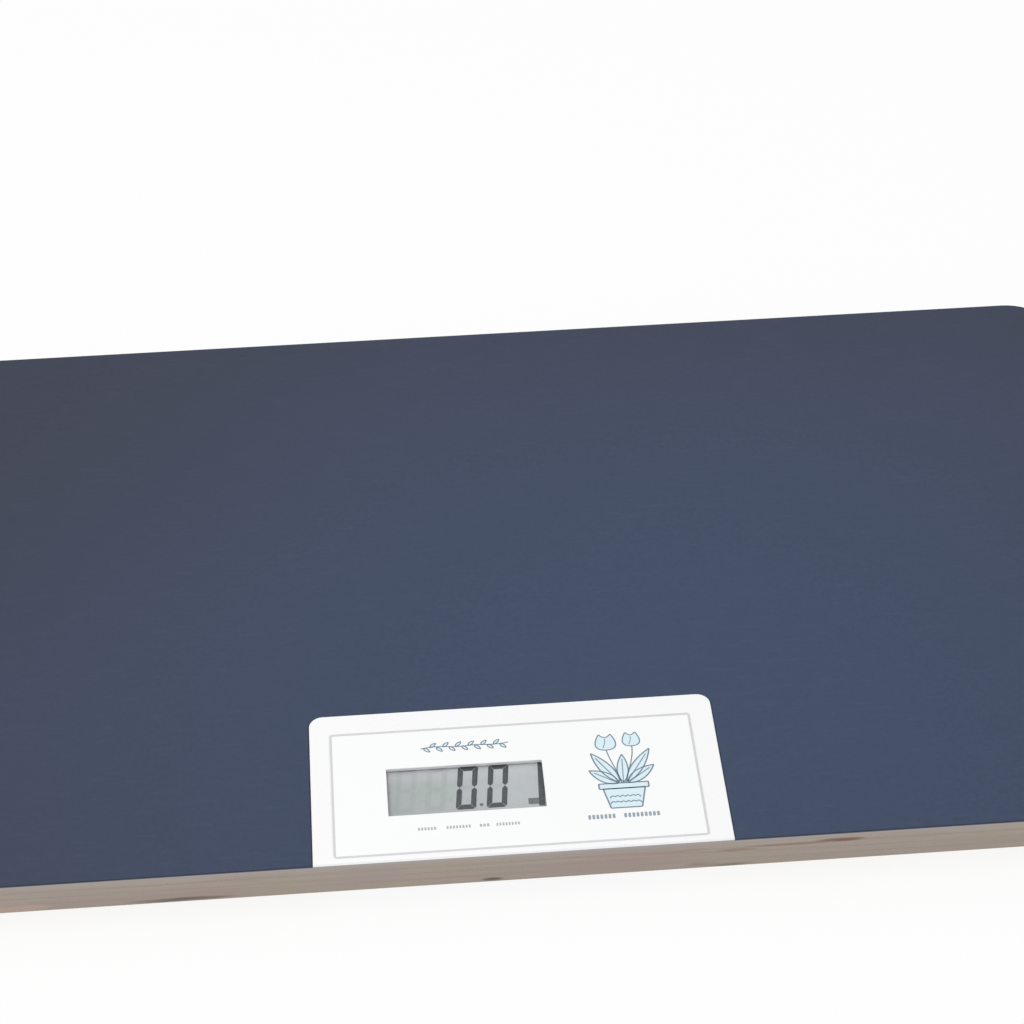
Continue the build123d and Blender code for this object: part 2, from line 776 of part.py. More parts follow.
with BuildPart() as quartz_crystal:
    with BuildSketch(Plane.XY.offset(circuit_bottom_z - crystal_height)):
        with Locations((converter_x, circuit_front_y + crystal_from_front)):
            SlotOverall(crystal_length, crystal_width)
    extrude(amount=crystal_height)
save(quartz_crystal, "quartz_crystal")

with BuildPart() as capacitors:
    with BuildSketch(Plane.XY.offset(circuit_bottom_z - capacitor_height)):
        with Locations((circuit_right_x - capacitor_from_right, circuit_front_y + capacitor_from_front)):
            with GridLocations(capacitor_pitch, 0, 2, 1):
                Circle(capacitor_diameter / 2)
    extrude(amount=capacitor_height)
save(capacitors, "capacitors")

with BuildPart() as chip_resistors:
    with BuildSketch(Plane.XY.offset(circuit_bottom_z - resistor_height)):
        with Locations((circuit_x, circuit_front_y + resistor_from_front)):
            with GridLocations(resistor_pitch_x, resistor_pitch_y, resistor_count_x, resistor_count_y):
                Rectangle(resistor_length, resistor_width)
    extrude(amount=resistor_height)
save(chip_resistors, "chip_resistors")

# Tap sensor glued under the plate: a brass disc with its ceramic layer
tap_disc_z = core_top_z - tap_disc_thickness
tap_crystal_z = tap_disc_z - tap_crystal_thickness
with BuildPart() as tap_sensor:
    with BuildSketch(Plane.XY.offset(tap_disc_z)):
        with Locations((bay_x, unit_y)):
            Circle(tap_disc_diameter / 2)
    extrude(amount=tap_disc_thickness)
    with BuildSketch(Plane.XY.offset(tap_crystal_z)):
        with Locations((bay_x, unit_y)):
            Circle(tap_crystal_diameter / 2)
    extrude(amount=tap_crystal_thickness)
save(tap_sensor, "tap_sensor")

# Wires from the tap sensor's ceramic and rim to the circuit board, over the battery bay
tap_wire_z = bay_roof_z + tap_wire_rise
tap_rim_x = bay_x - (tap_disc_diameter + tap_crystal_diameter) / 4
tap_starts = [(bay_x, tap_crystal_z), (tap_rim_x, tap_disc_z)]
with BuildPart() as tap_wires:
    for n, (start_x, start_z) in enumerate(tap_starts):
        lane_y = circuit_back_y - tap_wire_from_back - n * tap_wire_pitch
        end_x = circuit_right_x - tap_wire_ends_from_right[n]
        with BuildLine() as tap_route:
            FilletPolyline(
                (start_x, unit_y, start_z),
                (start_x, unit_y, tap_wire_z),
                (start_x, lane_y, tap_wire_z),
                (end_x, lane_y, tap_wire_z),
                (end_x, lane_y, circuit_top_z),
                radius=tap_wire_bend,
            )
        with BuildSketch(Plane(origin=(start_x, unit_y, start_z), z_dir=(0, 0, -1))):
            Circle(tap_wire_diameter / 2)
        sweep(path=tap_route.line)
save(tap_wires, "tap_wires")

# Wires from the outer battery contacts to the circuit board, one along the tabs and one in front of them
battery_wire_z = bay_roof_z + battery_wire_rise
wire_end_xs = [circuit_right_x - distance for distance in battery_wire_ends_from_right]
tab_middle_y = bay_front_y + contact_thickness / 2
near_start = (tab_xs[0] - tab_width / 2, tab_middle_y, battery_wire_z)
far_start = (tab_xs[1], bay_front_y, battery_wire_z)
with BuildPart() as battery_wires:
    with BuildLine() as near_route:
        FilletPolyline(
            near_start,
            (wire_end_xs[0], tab_middle_y, battery_wire_z),
            (wire_end_xs[0], tab_middle_y, circuit_top_z),
            radius=battery_wire_bend,
        )
    with BuildSketch(Plane(origin=near_start, z_dir=(-1, 0, 0))):
        Circle(battery_wire_diameter / 2)
    sweep(path=near_route.line)
    with BuildLine() as far_route:
        FilletPolyline(
            far_start,
            (tab_xs[1], bay_front_y - battery_wire_out, battery_wire_z),
            (wire_end_xs[1], bay_front_y - battery_wire_out, battery_wire_z),
            (wire_end_xs[1], bay_front_y - battery_wire_out, circuit_top_z),
            radius=battery_wire_bend,
        )
    with BuildSketch(Plane(origin=far_start, z_dir=(0, -1, 0))):
        Circle(battery_wire_diameter / 2)
    sweep(path=far_route.line)
save(battery_wires, "battery_wires")

# Switch on the circuit board, with its plunger, and the button that presses it
with BuildPart() as unit_switch:
    with BuildSketch(Plane.XY.offset(switch_bottom_z)):
        with Locations((button_x, button_y)):
            Rectangle(switch_size, switch_size)
    extrude(amount=switch_height)
    with BuildSketch(Plane.XY.offset(switch_bottom_z)):
        with Locations((button_x, button_y)):
            Circle(plunger_diameter / 2 + plunger_clearance)
    extrude(amount=plunger_depth + button_travel + plunger_clearance, mode=Mode.SUBTRACT)
save(unit_switch, "unit_switch")

with BuildPart() as switch_plunger:
    with BuildSketch(Plane.XY.offset(button_top_z)):
        with Locations((button_x, button_y)):
            Circle(plunger_diameter / 2)
    extrude(amount=plunger_reach + plunger_depth)
save(switch_plunger, "switch_plunger")

with BuildPart() as unit_button:
    with BuildSketch(Plane.XY.offset(button_bottom_z)):
        with Locations((button_x, button_y)):
            Circle(button_diameter / 2)
    extrude(amount=underside_z - button_bottom_z)
    fillet(unit_button.edges().sort_by(Axis.Z)[0], button_edge_round)
    with BuildSketch(Plane.XY.offset(underside_z)):
        with Locations((button_x, button_y)):
            Circle(button_flange_diameter / 2)
    extrude(amount=button_flange_thickness)
    with BuildSketch(Plane.XY.offset(underside_z)):
        with Locations((button_x, button_y)):
            Circle(button_stem_diameter / 2)
    extrude(amount=button_top_z - underside_z)
save(unit_button, "unit_button")

# Rear cover: a flange under the board, a spigot inside the box, the battery bay, the door's track
# and the holes for the button and the screws
with BuildPart() as rear_cover:
    with BuildSketch(Plane.XY.offset(cover_bottom_z)):
        with Locations((0, unit_y)):
            RectangleRounded(
                cutout_width + 2 * cover_overlap, cutout_depth + 2 * cover_overlap, cover_corner_radius
            )
    extrude(amount=cover_thickness)
    chamfer(rear_cover.faces().sort_by(Axis.Z)[0].outer_wire().edges(), cover_edge_chamfer)
    with BuildSketch(Plane.XY.offset(underside_z)):
        with Locations((0, unit_y)):
            RectangleRounded(
                box_inner_width - 2 * spigot_clearance,
                box_inner_depth - 2 * spigot_clearance,
                box_inner_radius - spigot_clearance,
            )
    extrude(amount=spigot_height)
    with BuildSketch(Plane.XY.offset(underside_z)):
        with Locations((bay_x, unit_y)):
            Rectangle(bay_width + 2 * bay_wall, bay_depth + 2 * bay_wall)
    extrude(amount=bay_roof_z - underside_z)
    with BuildSketch(Plane.XY.offset(cover_bottom_z)):
        with Locations((bay_x, unit_y)):
            Rectangle(bay_width, bay_depth)
    extrude(amount=bay_top_z - cover_bottom_z, mode=Mode.SUBTRACT)
    with BuildSketch(Plane.XY.offset(bay_top_z)):
        with Locations(*[(x, tab_middle_y) for x in tab_xs]):
            Rectangle(tab_width + 2 * tab_clearance, contact_thickness + 2 * tab_clearance)
    extrude(amount=bay_roof, mode=Mode.SUBTRACT)
    with BuildSketch(Plane.XY.offset(cover_bottom_z)):
        with Locations((bay_x, door_front_y - door_clearance)):
            Rectangle(track_width, door_length + door_clearance, align=(Align.CENTER, Align.MIN))
    extrude(amount=cover_thickness, mode=Mode.SUBTRACT)
    with BuildSketch(Plane.XY.offset(tongue_z)):
        with Locations((bay_x, door_front_y - door_clearance)):
            Rectangle(
                track_width + 2 * door_tongue_reach,
                door_length + door_clearance,
                align=(Align.CENTER, Align.MIN),
            )
    extrude(amount=(door_tongue_thickness + door_clearance) / 2, both=True, mode=Mode.SUBTRACT)
    with Locations(*[Plane(origin=(x, y, cover_bottom_z), z_dir=(0, 0, -1)) for x, y in post_places]):
        CounterSinkHole(
            radius=cover_screw_diameter / 2 + screw_clearance,
            counter_sink_radius=cover_screw_head_diameter / 2 + screw_clearance,
            depth=cover_thickness + spigot_height,
            counter_sink_angle=90,
        )
    with BuildSketch(Plane.XY.offset(cover_bottom_z)):
        with Locations((button_x, button_y)):
            Circle(button_diameter / 2 + button_clearance)
    extrude(amount=cover_thickness, mode=Mode.SUBTRACT)
    with BuildSketch(Plane.XY.offset(underside_z)):
        with Locations((button_x, button_y)):
            Circle(button_flange_diameter / 2 + button_clearance)
    extrude(amount=spigot_height, mode=Mode.SUBTRACT)
save(rear_cover, "rear_cover")

with BuildPart() as cover_screws:
    with Locations(*[(x, y, cover_bottom_z) for x, y in post_places]):
        add(countersunk_screw(cover_screw_diameter, cover_screw_length, cover_screw_head_diameter))
save(cover_screws, "cover_screws")

# Battery door, with a tongue along each side and finger ribs at its back end
with BuildPart() as battery_door:
    with BuildSketch(Plane.XY.offset(cover_bottom_z)):
        with Locations((bay_x, door_front_y)):
            Rectangle(door_width, door_length, align=(Align.CENTER, Align.MIN))
    extrude(amount=door_top_z - cover_bottom_z)
    with BuildSketch(Plane.XY.offset(tongue_z)):
        with Locations((bay_x, door_front_y)):
            Rectangle(door_width + 2 * door_tongue_reach, door_length, align=(Align.CENTER, Align.MIN))
    extrude(amount=door_tongue_thickness / 2, both=True)
    with BuildSketch(Plane.XY.offset(cover_bottom_z - grip_rib_height)):
        for n in range(grip_rib_count):
            with Locations((bay_x, cover_back_y - grip_rib_margin - n * grip_rib_pitch)):
                SlotOverall(grip_rib_length, grip_rib_width)
    extrude(amount=grip_rib_height)
save(battery_door, "battery_door")

# Batteries, every other one the other way round
with BuildPart() as batteries:
    for n, x in enumerate(battery_xs):
        outward = -1 if n % 2 else 1
        nub_y = unit_y + outward * (bay_depth / 2 - contact_thickness)
        nub_end = Plane(origin=(x, nub_y, battery_z), x_dir=(1, 0, 0), z_dir=(0, outward, 0))
        with BuildSketch(nub_end.offset(-battery_length)):
            Circle(battery_diameter / 2)
        extrude(amount=battery_length - battery_nub_length)
        with BuildSketch(nub_end.offset(-battery_nub_length)):
            Circle(battery_nub_diameter / 2)
        extrude(amount=battery_nub_length)
save(batteries, "batteries")

# Battery contacts: sheets against the end walls, sprung where they meet a battery's flat end
with BuildPart() as battery_contacts:
    for groups, wall_y, inward, sprung in end_contacts:
        for group in groups:
            middle_x = (battery_xs[group[0]] + battery_xs[group[-1]]) / 2
            sheet_width = battery_xs[group[-1]] - battery_xs[group[0]] + contact_width
            end_wall = Plane(origin=(middle_x, wall_y, battery_z), x_dir=(1, 0, 0), z_dir=(0, inward, 0))
            with BuildSketch(end_wall):
                Rectangle(sheet_width, contact_height)
            extrude(amount=contact_thickness)
        for n in range(sprung, battery_count, 2):
            half = contact_height / 2
            root = contact_thickness / 2
            crown = spring_depth - root
            spring_root = (battery_xs[n], wall_y, battery_z)
            section = Plane(origin=spring_root, x_dir=(0, inward, 0), z_dir=(inward, 0, 0))
            with BuildSketch(section):
                with BuildLine():
                    Polyline(
                        (root, root - half),
                        (crown, -spring_crown / 2),
                        (crown, spring_crown / 2),
                        (root, half - root),
                    )
                trace(line_width=contact_thickness)
            extrude(amount=contact_width / 2, both=True)
    with BuildSketch(Plane.XY.offset(battery_z)):
        with Locations(*[(x, tab_middle_y) for x in tab_xs]):
            Rectangle(tab_width, contact_thickness)
    extrude(amount=bay_roof_z + tab_reach - battery_z)
save(battery_contacts, "battery_contacts")

# Four corner sensors with their feet
for corner, name in zip(corner_planes, corner_names):
    with BuildPart() as sensor_carrier:
        with BuildSketch(corner.offset(carrier_bottom_z)):
            Circle(carrier_flange_radius)
        extrude(amount=carrier_flange_thickness)
        chamfer(sensor_carrier.edges().group_by(Axis.Z)[0], carrier_edge_chamfer)
        with BuildSketch(corner.offset(underside_z)):
            Circle(carrier_radius)
        extrude(amount=carrier_top_z - underside_z)
        with BuildSketch(corner.offset(underside_z)):
            Circle(carrier_inner_radius)
        extrude(amount=carrier_roof_z - underside_z, mode=Mode.SUBTRACT)
        with BuildSketch(corner.offset(carrier_bottom_z)):
            Circle(foot_opening_radius)
        extrude(amount=carrier_flange_thickness, mode=Mode.SUBTRACT)
        with BuildSketch(corner.offset(load_cell_top_z)):
            RectangleRounded(load_cell_size, load_cell_size, load_cell_corner_radius)
            Rectangle(load_cell_size - 2 * seat_width, load_cell_size - 2 * seat_width, mode=Mode.SUBTRACT)
            with GridLocations(cell_screw_spacing, cell_screw_spacing, 2, 2):
                Circle(cell_screw_inset)
            with Locations((load_cell_size / 2, 0)):
                Rectangle(2 * seat_width, gauge_notch_width, mode=Mode.SUBTRACT)
        extrude(amount=bend_room)
        with BuildSketch(corner.offset(load_cell_top_z)):
            with GridLocations(cell_screw_spacing, cell_screw_spacing, 2, 2):
                Circle(cell_screw_diameter / 2 + screw_clearance / 2)
        extrude(amount=bend_room + cell_screw_grip + screw_clearance, mode=Mode.SUBTRACT)
        with BuildSketch(corner.offset(underside_z)):
            with Locations((carrier_inner_radius + carrier_wall / 2, 0)):
                Rectangle(2 * carrier_wall, lead_slot_width)
        extrude(amount=lead_slot_top_z - underside_z, mode=Mode.SUBTRACT)
        with BuildSketch(corner.offset(carrier_bottom_z)):
            with PolarLocations(carrier_screw_radius, carrier_screw_count, start_angle=carrier_screw_start):
                Circle(carrier_screw_diameter / 2 + screw_clearance)
        extrude(amount=carrier_flange_thickness, mode=Mode.SUBTRACT)
        with BuildSketch(corner.offset(carrier_bottom_z)):
            with PolarLocations(carrier_screw_radius, carrier_screw_count, start_angle=carrier_screw_start):
                Circle(carrier_screw_head_diameter / 2 + screw_clearance)
        extrude(amount=carrier_countersink, taper=45, mode=Mode.SUBTRACT)
    save(sensor_carrier, f"sensor_carrier_{name}")

    with BuildPart() as load_cell:
        with BuildSketch(corner.offset(load_cell_bottom_z)):
            RectangleRounded(load_cell_size, load_cell_size, load_cell_corner_radius)
            with Locations((beam_x - beam_slot / 2, 0)):
                Rectangle(beam_length + beam_slot, beam_width + 2 * beam_slot, mode=Mode.SUBTRACT)
            with Locations((beam_x, 0)):
                Rectangle(beam_length, beam_width)
            Circle(foot_screw_diameter / 2 + foot_screw_clearance / 2, mode=Mode.SUBTRACT)
            with GridLocations(cell_screw_spacing, cell_screw_spacing, 2, 2):
                Circle(cell_screw_diameter / 2 + screw_clearance / 2, mode=Mode.SUBTRACT)
        extrude(amount=load_cell_thickness)
    save(load_cell, f"load_cell_{name}")

    with BuildPart() as foot:
        with BuildSketch(corner.offset(foot_bottom_z)):
            Circle(foot_diameter / 2)
        extrude(amount=foot_height)
        fillet(foot.edges().group_by(Axis.Z)[0], foot_bottom_round)
        fillet(foot.edges().group_by(Axis.Z)[-1], foot_top_round)
        with BuildSketch(corner.offset(foot_top_z)):
            Circle(foot_collar_diameter / 2)
        extrude(amount=foot_collar_height)
        with BuildSketch(corner.offset(foot_top_z)):
            Circle(foot_neck_diameter / 2)
        extrude(amount=load_cell_bottom_z - foot_top_z)
        with BuildSketch(corner.offset(foot_bottom_z)):
            Circle(pad_diameter / 2)
        extrude(amount=pad_sink, mode=Mode.SUBTRACT)
        with BuildSketch(corner.offset(pad_thickness)):
            Circle(foot_screw_head_diameter / 2 + foot_screw_clearance)
        extrude(amount=foot_screw_sink, mode=Mode.SUBTRACT)
        with BuildSketch(corner.offset(pad_thickness)):
            Circle(foot_screw_diameter / 2 + foot_screw_clearance / 2)
        extrude(amount=load_cell_bottom_z - pad_thickness, mode=Mode.SUBTRACT)
    save(foot, f"foot_{name}")

    with BuildPart() as foot_pad:
        with BuildSketch(corner):
            Circle(pad_diameter / 2)
            Circle(pad_hole_diameter / 2, mode=Mode.SUBTRACT)
        extrude(amount=pad_thickness)
        with BuildSketch(corner):
            Circle(pad_groove_radius + pad_groove_width / 2)
            Circle(pad_groove_radius - pad_groove_width / 2, mode=Mode.SUBTRACT)
        extrude(amount=pad_groove_depth, mode=Mode.SUBTRACT)
    save(foot_pad, f"foot_pad_{name}")

    with BuildPart() as foot_screw:
        with Locations(corner.offset(foot_screw_z)):
            add(
                pan_screw(
                    foot_screw_diameter,
                    load_cell_top_z + foot_screw_tip - foot_screw_z,
                    foot_screw_head_diameter,
                    foot_screw_head_height,
                )
            )
    save(foot_screw, f"foot_screw_{name}")

# Screws that hold the carriers in the board and the load cells in the carriers
with BuildPart() as carrier_screws:
    with Locations(*carrier_screw_spots(carrier_bottom_z)):
        add(countersunk_screw(carrier_screw_diameter, carrier_screw_length, carrier_screw_head_diameter))
save(carrier_screws, "carrier_screws")

with BuildPart() as load_cell_screws:
    with Locations(*load_cell_screw_spots(load_cell_bottom_z)):
        add(
            pan_screw(
                cell_screw_diameter,
                load_cell_thickness + bend_room + cell_screw_grip,
                cell_screw_head_diameter,
                cell_screw_head_height,
            )
        )
save(load_cell_screws, "load_cell_screws")

# Strain gauges near the roots of the load cells' beams, each with three wires from its lead
with BuildPart() as strain_gauges:
    for corner in corner_planes:
        with BuildSketch(corner.offset(load_cell_top_z)):
            with Locations((gauge_x, 0)):
                Rectangle(gauge_length, gauge_width)
        extrude(amount=gauge_thickness)
    fillet(strain_gauges.edges().group_by(Axis.Z)[-1], gauge_round)
save(strain_gauges, "strain_gauges")

gauge_wire_x = load_cell_size / 2 + gauge_wire_gap
gauge_wire_z = load_cell_top_z + gauge_thickness / 2
gauge_end_x = gauge_x + gauge_length / 2
with BuildPart() as gauge_wires:
    for corner in corner_planes:
        for n in (-1, 0, 1):
            side_y = n * gauge_wire_pitch
            points = [
                (lead_start, side_y, lead_z),
                (gauge_wire_x, side_y, lead_z),
                (gauge_wire_x, side_y, gauge_wire_z),
                (gauge_end_x, side_y, gauge_wire_z),
            ]
            points = [corner.from_local_coords(point) for point in points]
            with BuildLine() as gauge_route:
                FilletPolyline(*points, radius=gauge_wire_bend)
            with BuildSketch(Plane(origin=points[0], z_dir=points[1] - points[0])):
                Circle(gauge_wire_diameter / 2)
            sweep(path=gauge_route.line)
save(gauge_wires, "gauge_wires")

# Leads from the sensors to the display unit
for route, name in zip(lead_routes, corner_names):
    start, following = Vector(*route[0]), Vector(*route[1])
    with BuildPart() as sensor_lead:
        with BuildLine(Plane.XY.offset(lead_z)) as centre_line:
            route_line(route)
        with BuildSketch(Plane(origin=(start.X, start.Y, lead_z), z_dir=following - start)):
            Circle(lead_diameter / 2)
        sweep(path=centre_line.line)
    save(sensor_lead, f"sensor_lead_{name}")
    length = centre_line.wires()[0].length
    section = sensor_lead.part.volume / length
    print(f"lead {name}: {length:.0f} mm, bends {groove_bend_radius:.0f} mm, section {section:.3f} mm2")

# Clips over the grooves, each with two nails
with BuildPart() as lead_clips:
    for clip in clip_planes():
        with BuildSketch(clip.offset(-clip_thickness)):
            RectangleRounded(clip_length, clip_width, clip_corner_radius)
            with Locations((-nail_offset, 0), (nail_offset, 0)):
                Circle(nail_diameter / 2 + screw_clearance / 2, mode=Mode.SUBTRACT)
        extrude(amount=clip_thickness)
        with BuildSketch(clip):
            Rectangle(clip_rib_width, clip_width)
        extrude(amount=lead_z - lead_diameter / 2 - clip_lead_gap - underside_z)
save(lead_clips, "lead_clips")

with BuildPart() as clip_nails:
    for clip in clip_planes():
        with BuildSketch(clip.offset(-clip_thickness)):
            with Locations((-nail_offset, 0), (nail_offset, 0)):
                Circle(nail_diameter / 2)
        extrude(amount=nail_length)
        with BuildSketch(clip.offset(-clip_thickness - nail_head_height)):
            with Locations((-nail_offset, 0), (nail_offset, 0)):
                Circle(nail_head_diameter / 2)
        extrude(amount=nail_head_height)
save(clip_nails, "clip_nails")

print(f"plate {plate_width:.1f} x {plate_depth:.1f}, box {box_width:.1f} x {box_depth:.1f}")
print(f"window left edge {cell_x - window_width / 2 + plate_width / 2:.1f} mm from the plate's left edge")
print(f"travels: button {button_travel}, foot {foot_travel}, door {door_travel:.1f}")
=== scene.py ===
"""Platform scale: finishes for its solids, the printed label, the reading, small marks and the stage.

Metres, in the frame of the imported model: +X right, +Y back, +Z up, the origin on the floor under the board.
"""

import json
import math

import bmesh
import bpy
from bpy.props import FloatProperty, FloatVectorProperty, PointerProperty
from bpy.types import Operator, Panel, PropertyGroup
from mathutils import Matrix, Vector

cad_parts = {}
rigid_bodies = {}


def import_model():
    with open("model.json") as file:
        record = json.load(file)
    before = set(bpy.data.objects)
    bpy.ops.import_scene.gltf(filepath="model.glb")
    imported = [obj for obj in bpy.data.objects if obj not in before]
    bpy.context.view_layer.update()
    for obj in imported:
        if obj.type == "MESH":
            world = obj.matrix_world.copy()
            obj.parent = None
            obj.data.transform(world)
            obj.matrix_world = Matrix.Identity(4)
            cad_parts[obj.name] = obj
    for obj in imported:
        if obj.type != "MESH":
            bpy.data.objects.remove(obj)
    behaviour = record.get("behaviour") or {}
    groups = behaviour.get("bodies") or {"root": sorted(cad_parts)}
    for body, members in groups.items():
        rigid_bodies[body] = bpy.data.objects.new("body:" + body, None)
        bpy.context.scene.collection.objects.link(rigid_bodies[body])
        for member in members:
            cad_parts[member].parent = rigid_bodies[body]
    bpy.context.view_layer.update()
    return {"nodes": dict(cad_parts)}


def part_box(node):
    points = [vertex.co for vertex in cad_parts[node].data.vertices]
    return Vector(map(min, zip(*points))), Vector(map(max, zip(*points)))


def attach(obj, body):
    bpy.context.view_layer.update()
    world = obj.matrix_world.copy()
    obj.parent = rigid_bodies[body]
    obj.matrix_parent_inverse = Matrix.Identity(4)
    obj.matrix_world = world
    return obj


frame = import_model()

bl_info = {
    "name": "Platform scale finishes",
    "version": (1, 0, 0),
    "blender": (4, 5, 0),
    "location": "3D View > Sidebar > Scale",
    "description": "Finishes, print, reading and stage for a platform scale",
    "category": "Add Mesh",
}

NODES = frame["nodes"]
CORNERS = ("front_left", "front_right", "back_left", "back_right")
MM = 0.001

# Places of the solids that the finishes and marks follow
BOARD_LOW, BOARD_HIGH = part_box("platform_board")
FACING_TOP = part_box("top_facing")[1].z
LABEL_LOW, LABEL_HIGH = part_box("display_label")
PLATE_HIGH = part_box("display_housing")[1]
LENS_LOW, LENS_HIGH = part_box("window_lens")
CELL_LOW, CELL_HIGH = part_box("lcd_cell")
DOOR_LOW, DOOR_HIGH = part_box("battery_door")
COVER_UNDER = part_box("rear_cover")[0].z
BUTTON_LOW, BUTTON_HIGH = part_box("unit_button")
PACK_LOW, PACK_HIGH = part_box("batteries")
FRONT_Y = BOARD_LOW.y
LENS_LAP = Vector((2 * MM, 2 * MM, 0))
WINDOW_LOW, WINDOW_HIGH = LENS_LOW + LENS_LAP, LENS_HIGH - LENS_LAP


def screen(red, green, blue):
    """Linear colour of an 8-bit screen colour."""
    shares = (value / 255 for value in (red, green, blue))
    return tuple(((s + 0.055) / 1.055) ** 2.4 if s > 0.04045 else s / 12.92 for s in shares)


def toned(colour, kept, white=0.0):
    """The same colour with a share of its light kept and some white light added."""
    return tuple(kept * value + white for value in colour)


def a_colour(name, description, *light):
    """A colour that a user may change, given as an 8-bit screen colour."""
    return FloatVectorProperty(
        name=name, description=description, default=screen(*light), subtype="COLOR", min=0, max=1
    )


def a_place(name, description, *place):
    """A place that a user may change."""
    return FloatVectorProperty(name=name, description=description, default=place, subtype="TRANSLATION")


def a_length(name, description, millimetres):
    """A length that a user may change, given in millimetres."""
    size = millimetres * MM
    return FloatProperty(name=name, description=description, default=size, unit="LENGTH", precision=5)


def an_angle(name, description, degrees):
    """An angle that a user may change."""
    return FloatProperty(name=name, description=description, default=math.radians(degrees), subtype="ANGLE")


class ScaleColours(PropertyGroup):
    """Colours of the scale's finishes."""

    facing: a_colour("Facing", "The board's top facing", 60, 66, 84)
    facing_edge: a_colour("Facing edge", "The facing's cut edge", 46, 46, 56)
    long_grain: a_colour("Long grain", "Plies whose grain runs along the edge", 170, 159, 149)
    end_grain: a_colour("End grain", "Plies whose grain runs into the edge", 157, 147, 138)
    grain_streak: a_colour("Grain streak", "Reddish streaks in the plies", 141, 104, 90)
    glue_line: a_colour("Glue line", "Glue between the plies", 124, 112, 104)
    veneer: a_colour("Back veneer", "Veneer on the board's underside", 194, 173, 145)
    veneer_grain: a_colour("Veneer grain", "Darker grain of the back veneer", 162, 137, 109)
    plate: a_colour("Plate", "Display plate and its box", 250, 250, 251)
    label: a_colour("Label", "Ground of the printed label", 251, 252, 252)
    # The border ink is print that also paints the shade along the label's recess edge
    border_ink: a_colour("Border ink", "Thin frame line of the label", 213, 213, 217)
    small_print_ink: a_colour("Small print ink", "Dashes under the window", 178, 184, 188)
    caption_ink: a_colour("Caption ink", "Dashes under the drawing", 150, 163, 174)
    drawing_ink: a_colour("Drawing ink", "Lines of the label's drawing", 118, 138, 155)
    drawing_wash: a_colour("Drawing wash", "Pale wash of the label's drawing", 220, 239, 247)
    reading_ground: a_colour("Reading ground", "Background of the display", 208, 212, 215)
    reading_segment: a_colour("Reading segment", "Lit segments of the display", 74, 76, 81)
    reading_ghost: a_colour("Unlit segment", "Unlit segments of the display", 120, 128, 130)
    cover: a_colour("Cover", "Plastic of the cover, carriers and feet", 206, 208, 210)
    button: a_colour("Button", "Plastic of the unit button", 112, 118, 130)
    mark: a_colour("Moulded mark", "Raised arrows on the battery door", 142, 146, 152)
    pad: a_colour("Pad", "Rubber of the foot pads", 58, 58, 61)
    jacket: a_colour("Battery jacket", "Main colour of the battery jackets", 46, 82, 74)
    jacket_band: a_colour("Battery band", "Band at the positive end", 190, 154, 96)


class ScalePrint(PropertyGroup):
    """Sizes of the label's print and of the reading."""

    ink: a_length("Ink", "Thickness of the printed ink", 0.03)
    border_width: a_length("Border line", "Width of the frame line", 1.0)
    drawing_line: a_length("Drawing line", "Width of the drawing's lines", 0.65)
    drawing_x: a_length("Drawing place", "Middle of the drawing from the board's middle", 45.0)
    drawing_y: a_length("Drawing foot", "Foot of the drawing from the front edge", 20.6)
    digit_x: a_length("Left digit", "Middle of the left lit digit", -21.5)
    digit_y: a_length("Digit middle", "Middle of the digits from the front edge", 39.9)
    digit_pitch: a_length("Digit pitch", "From one digit to the next", 13.1)
    digit_width: a_length("Digit width", "Between its upright bars, middle to middle", 6.35)
    digit_height: a_length("Digit height", "Between its level bars, middle to middle", 21.9)
    bar_width: a_length("Bar width", "Width of a segment", 2.5)
    bar_gap: a_length("Bar gap", "Gap between two segments", 0.16)
    digit_lean: an_angle("Digit lean", "Lean of the digits", 5.7)


class ScaleStage(PropertyGroup):
    """Camera, lamps and floor."""

    lens: FloatProperty(name="Lens", description="Focal length", default=95.49, unit="CAMERA")
    azimuth: an_angle("Azimuth", "Camera heading", 3.866)
    elevation: an_angle("Elevation", "Camera height angle", 41.751)
    roll: an_angle("Roll", "Camera roll", -0.772)
    place: a_place("Camera place", "Where the camera stands", -0.0538, -0.9213, 0.8888)
    sky: FloatProperty(name="Sky", description="Strength of the even light", default=0.72, min=0)
    lamp: FloatProperty(name="Lamp", description="Power of the large lamp", default=9, min=0, unit="POWER")
    lamp_size: a_length("Lamp size", "Width of the large lamp", 1200)
    lamp_place: a_place("Lamp place", "Where the lamp hangs", -0.5, -0.5, 1.5)
    glow: FloatProperty(name="Glow", description="Light from below", default=0.45, subtype="FACTOR")
    shade: FloatProperty(name="Shade", description="The floor's own shading", default=0.2, subtype="FACTOR")
    floor_size: a_length("Floor size", "Width of the floor", 8000)


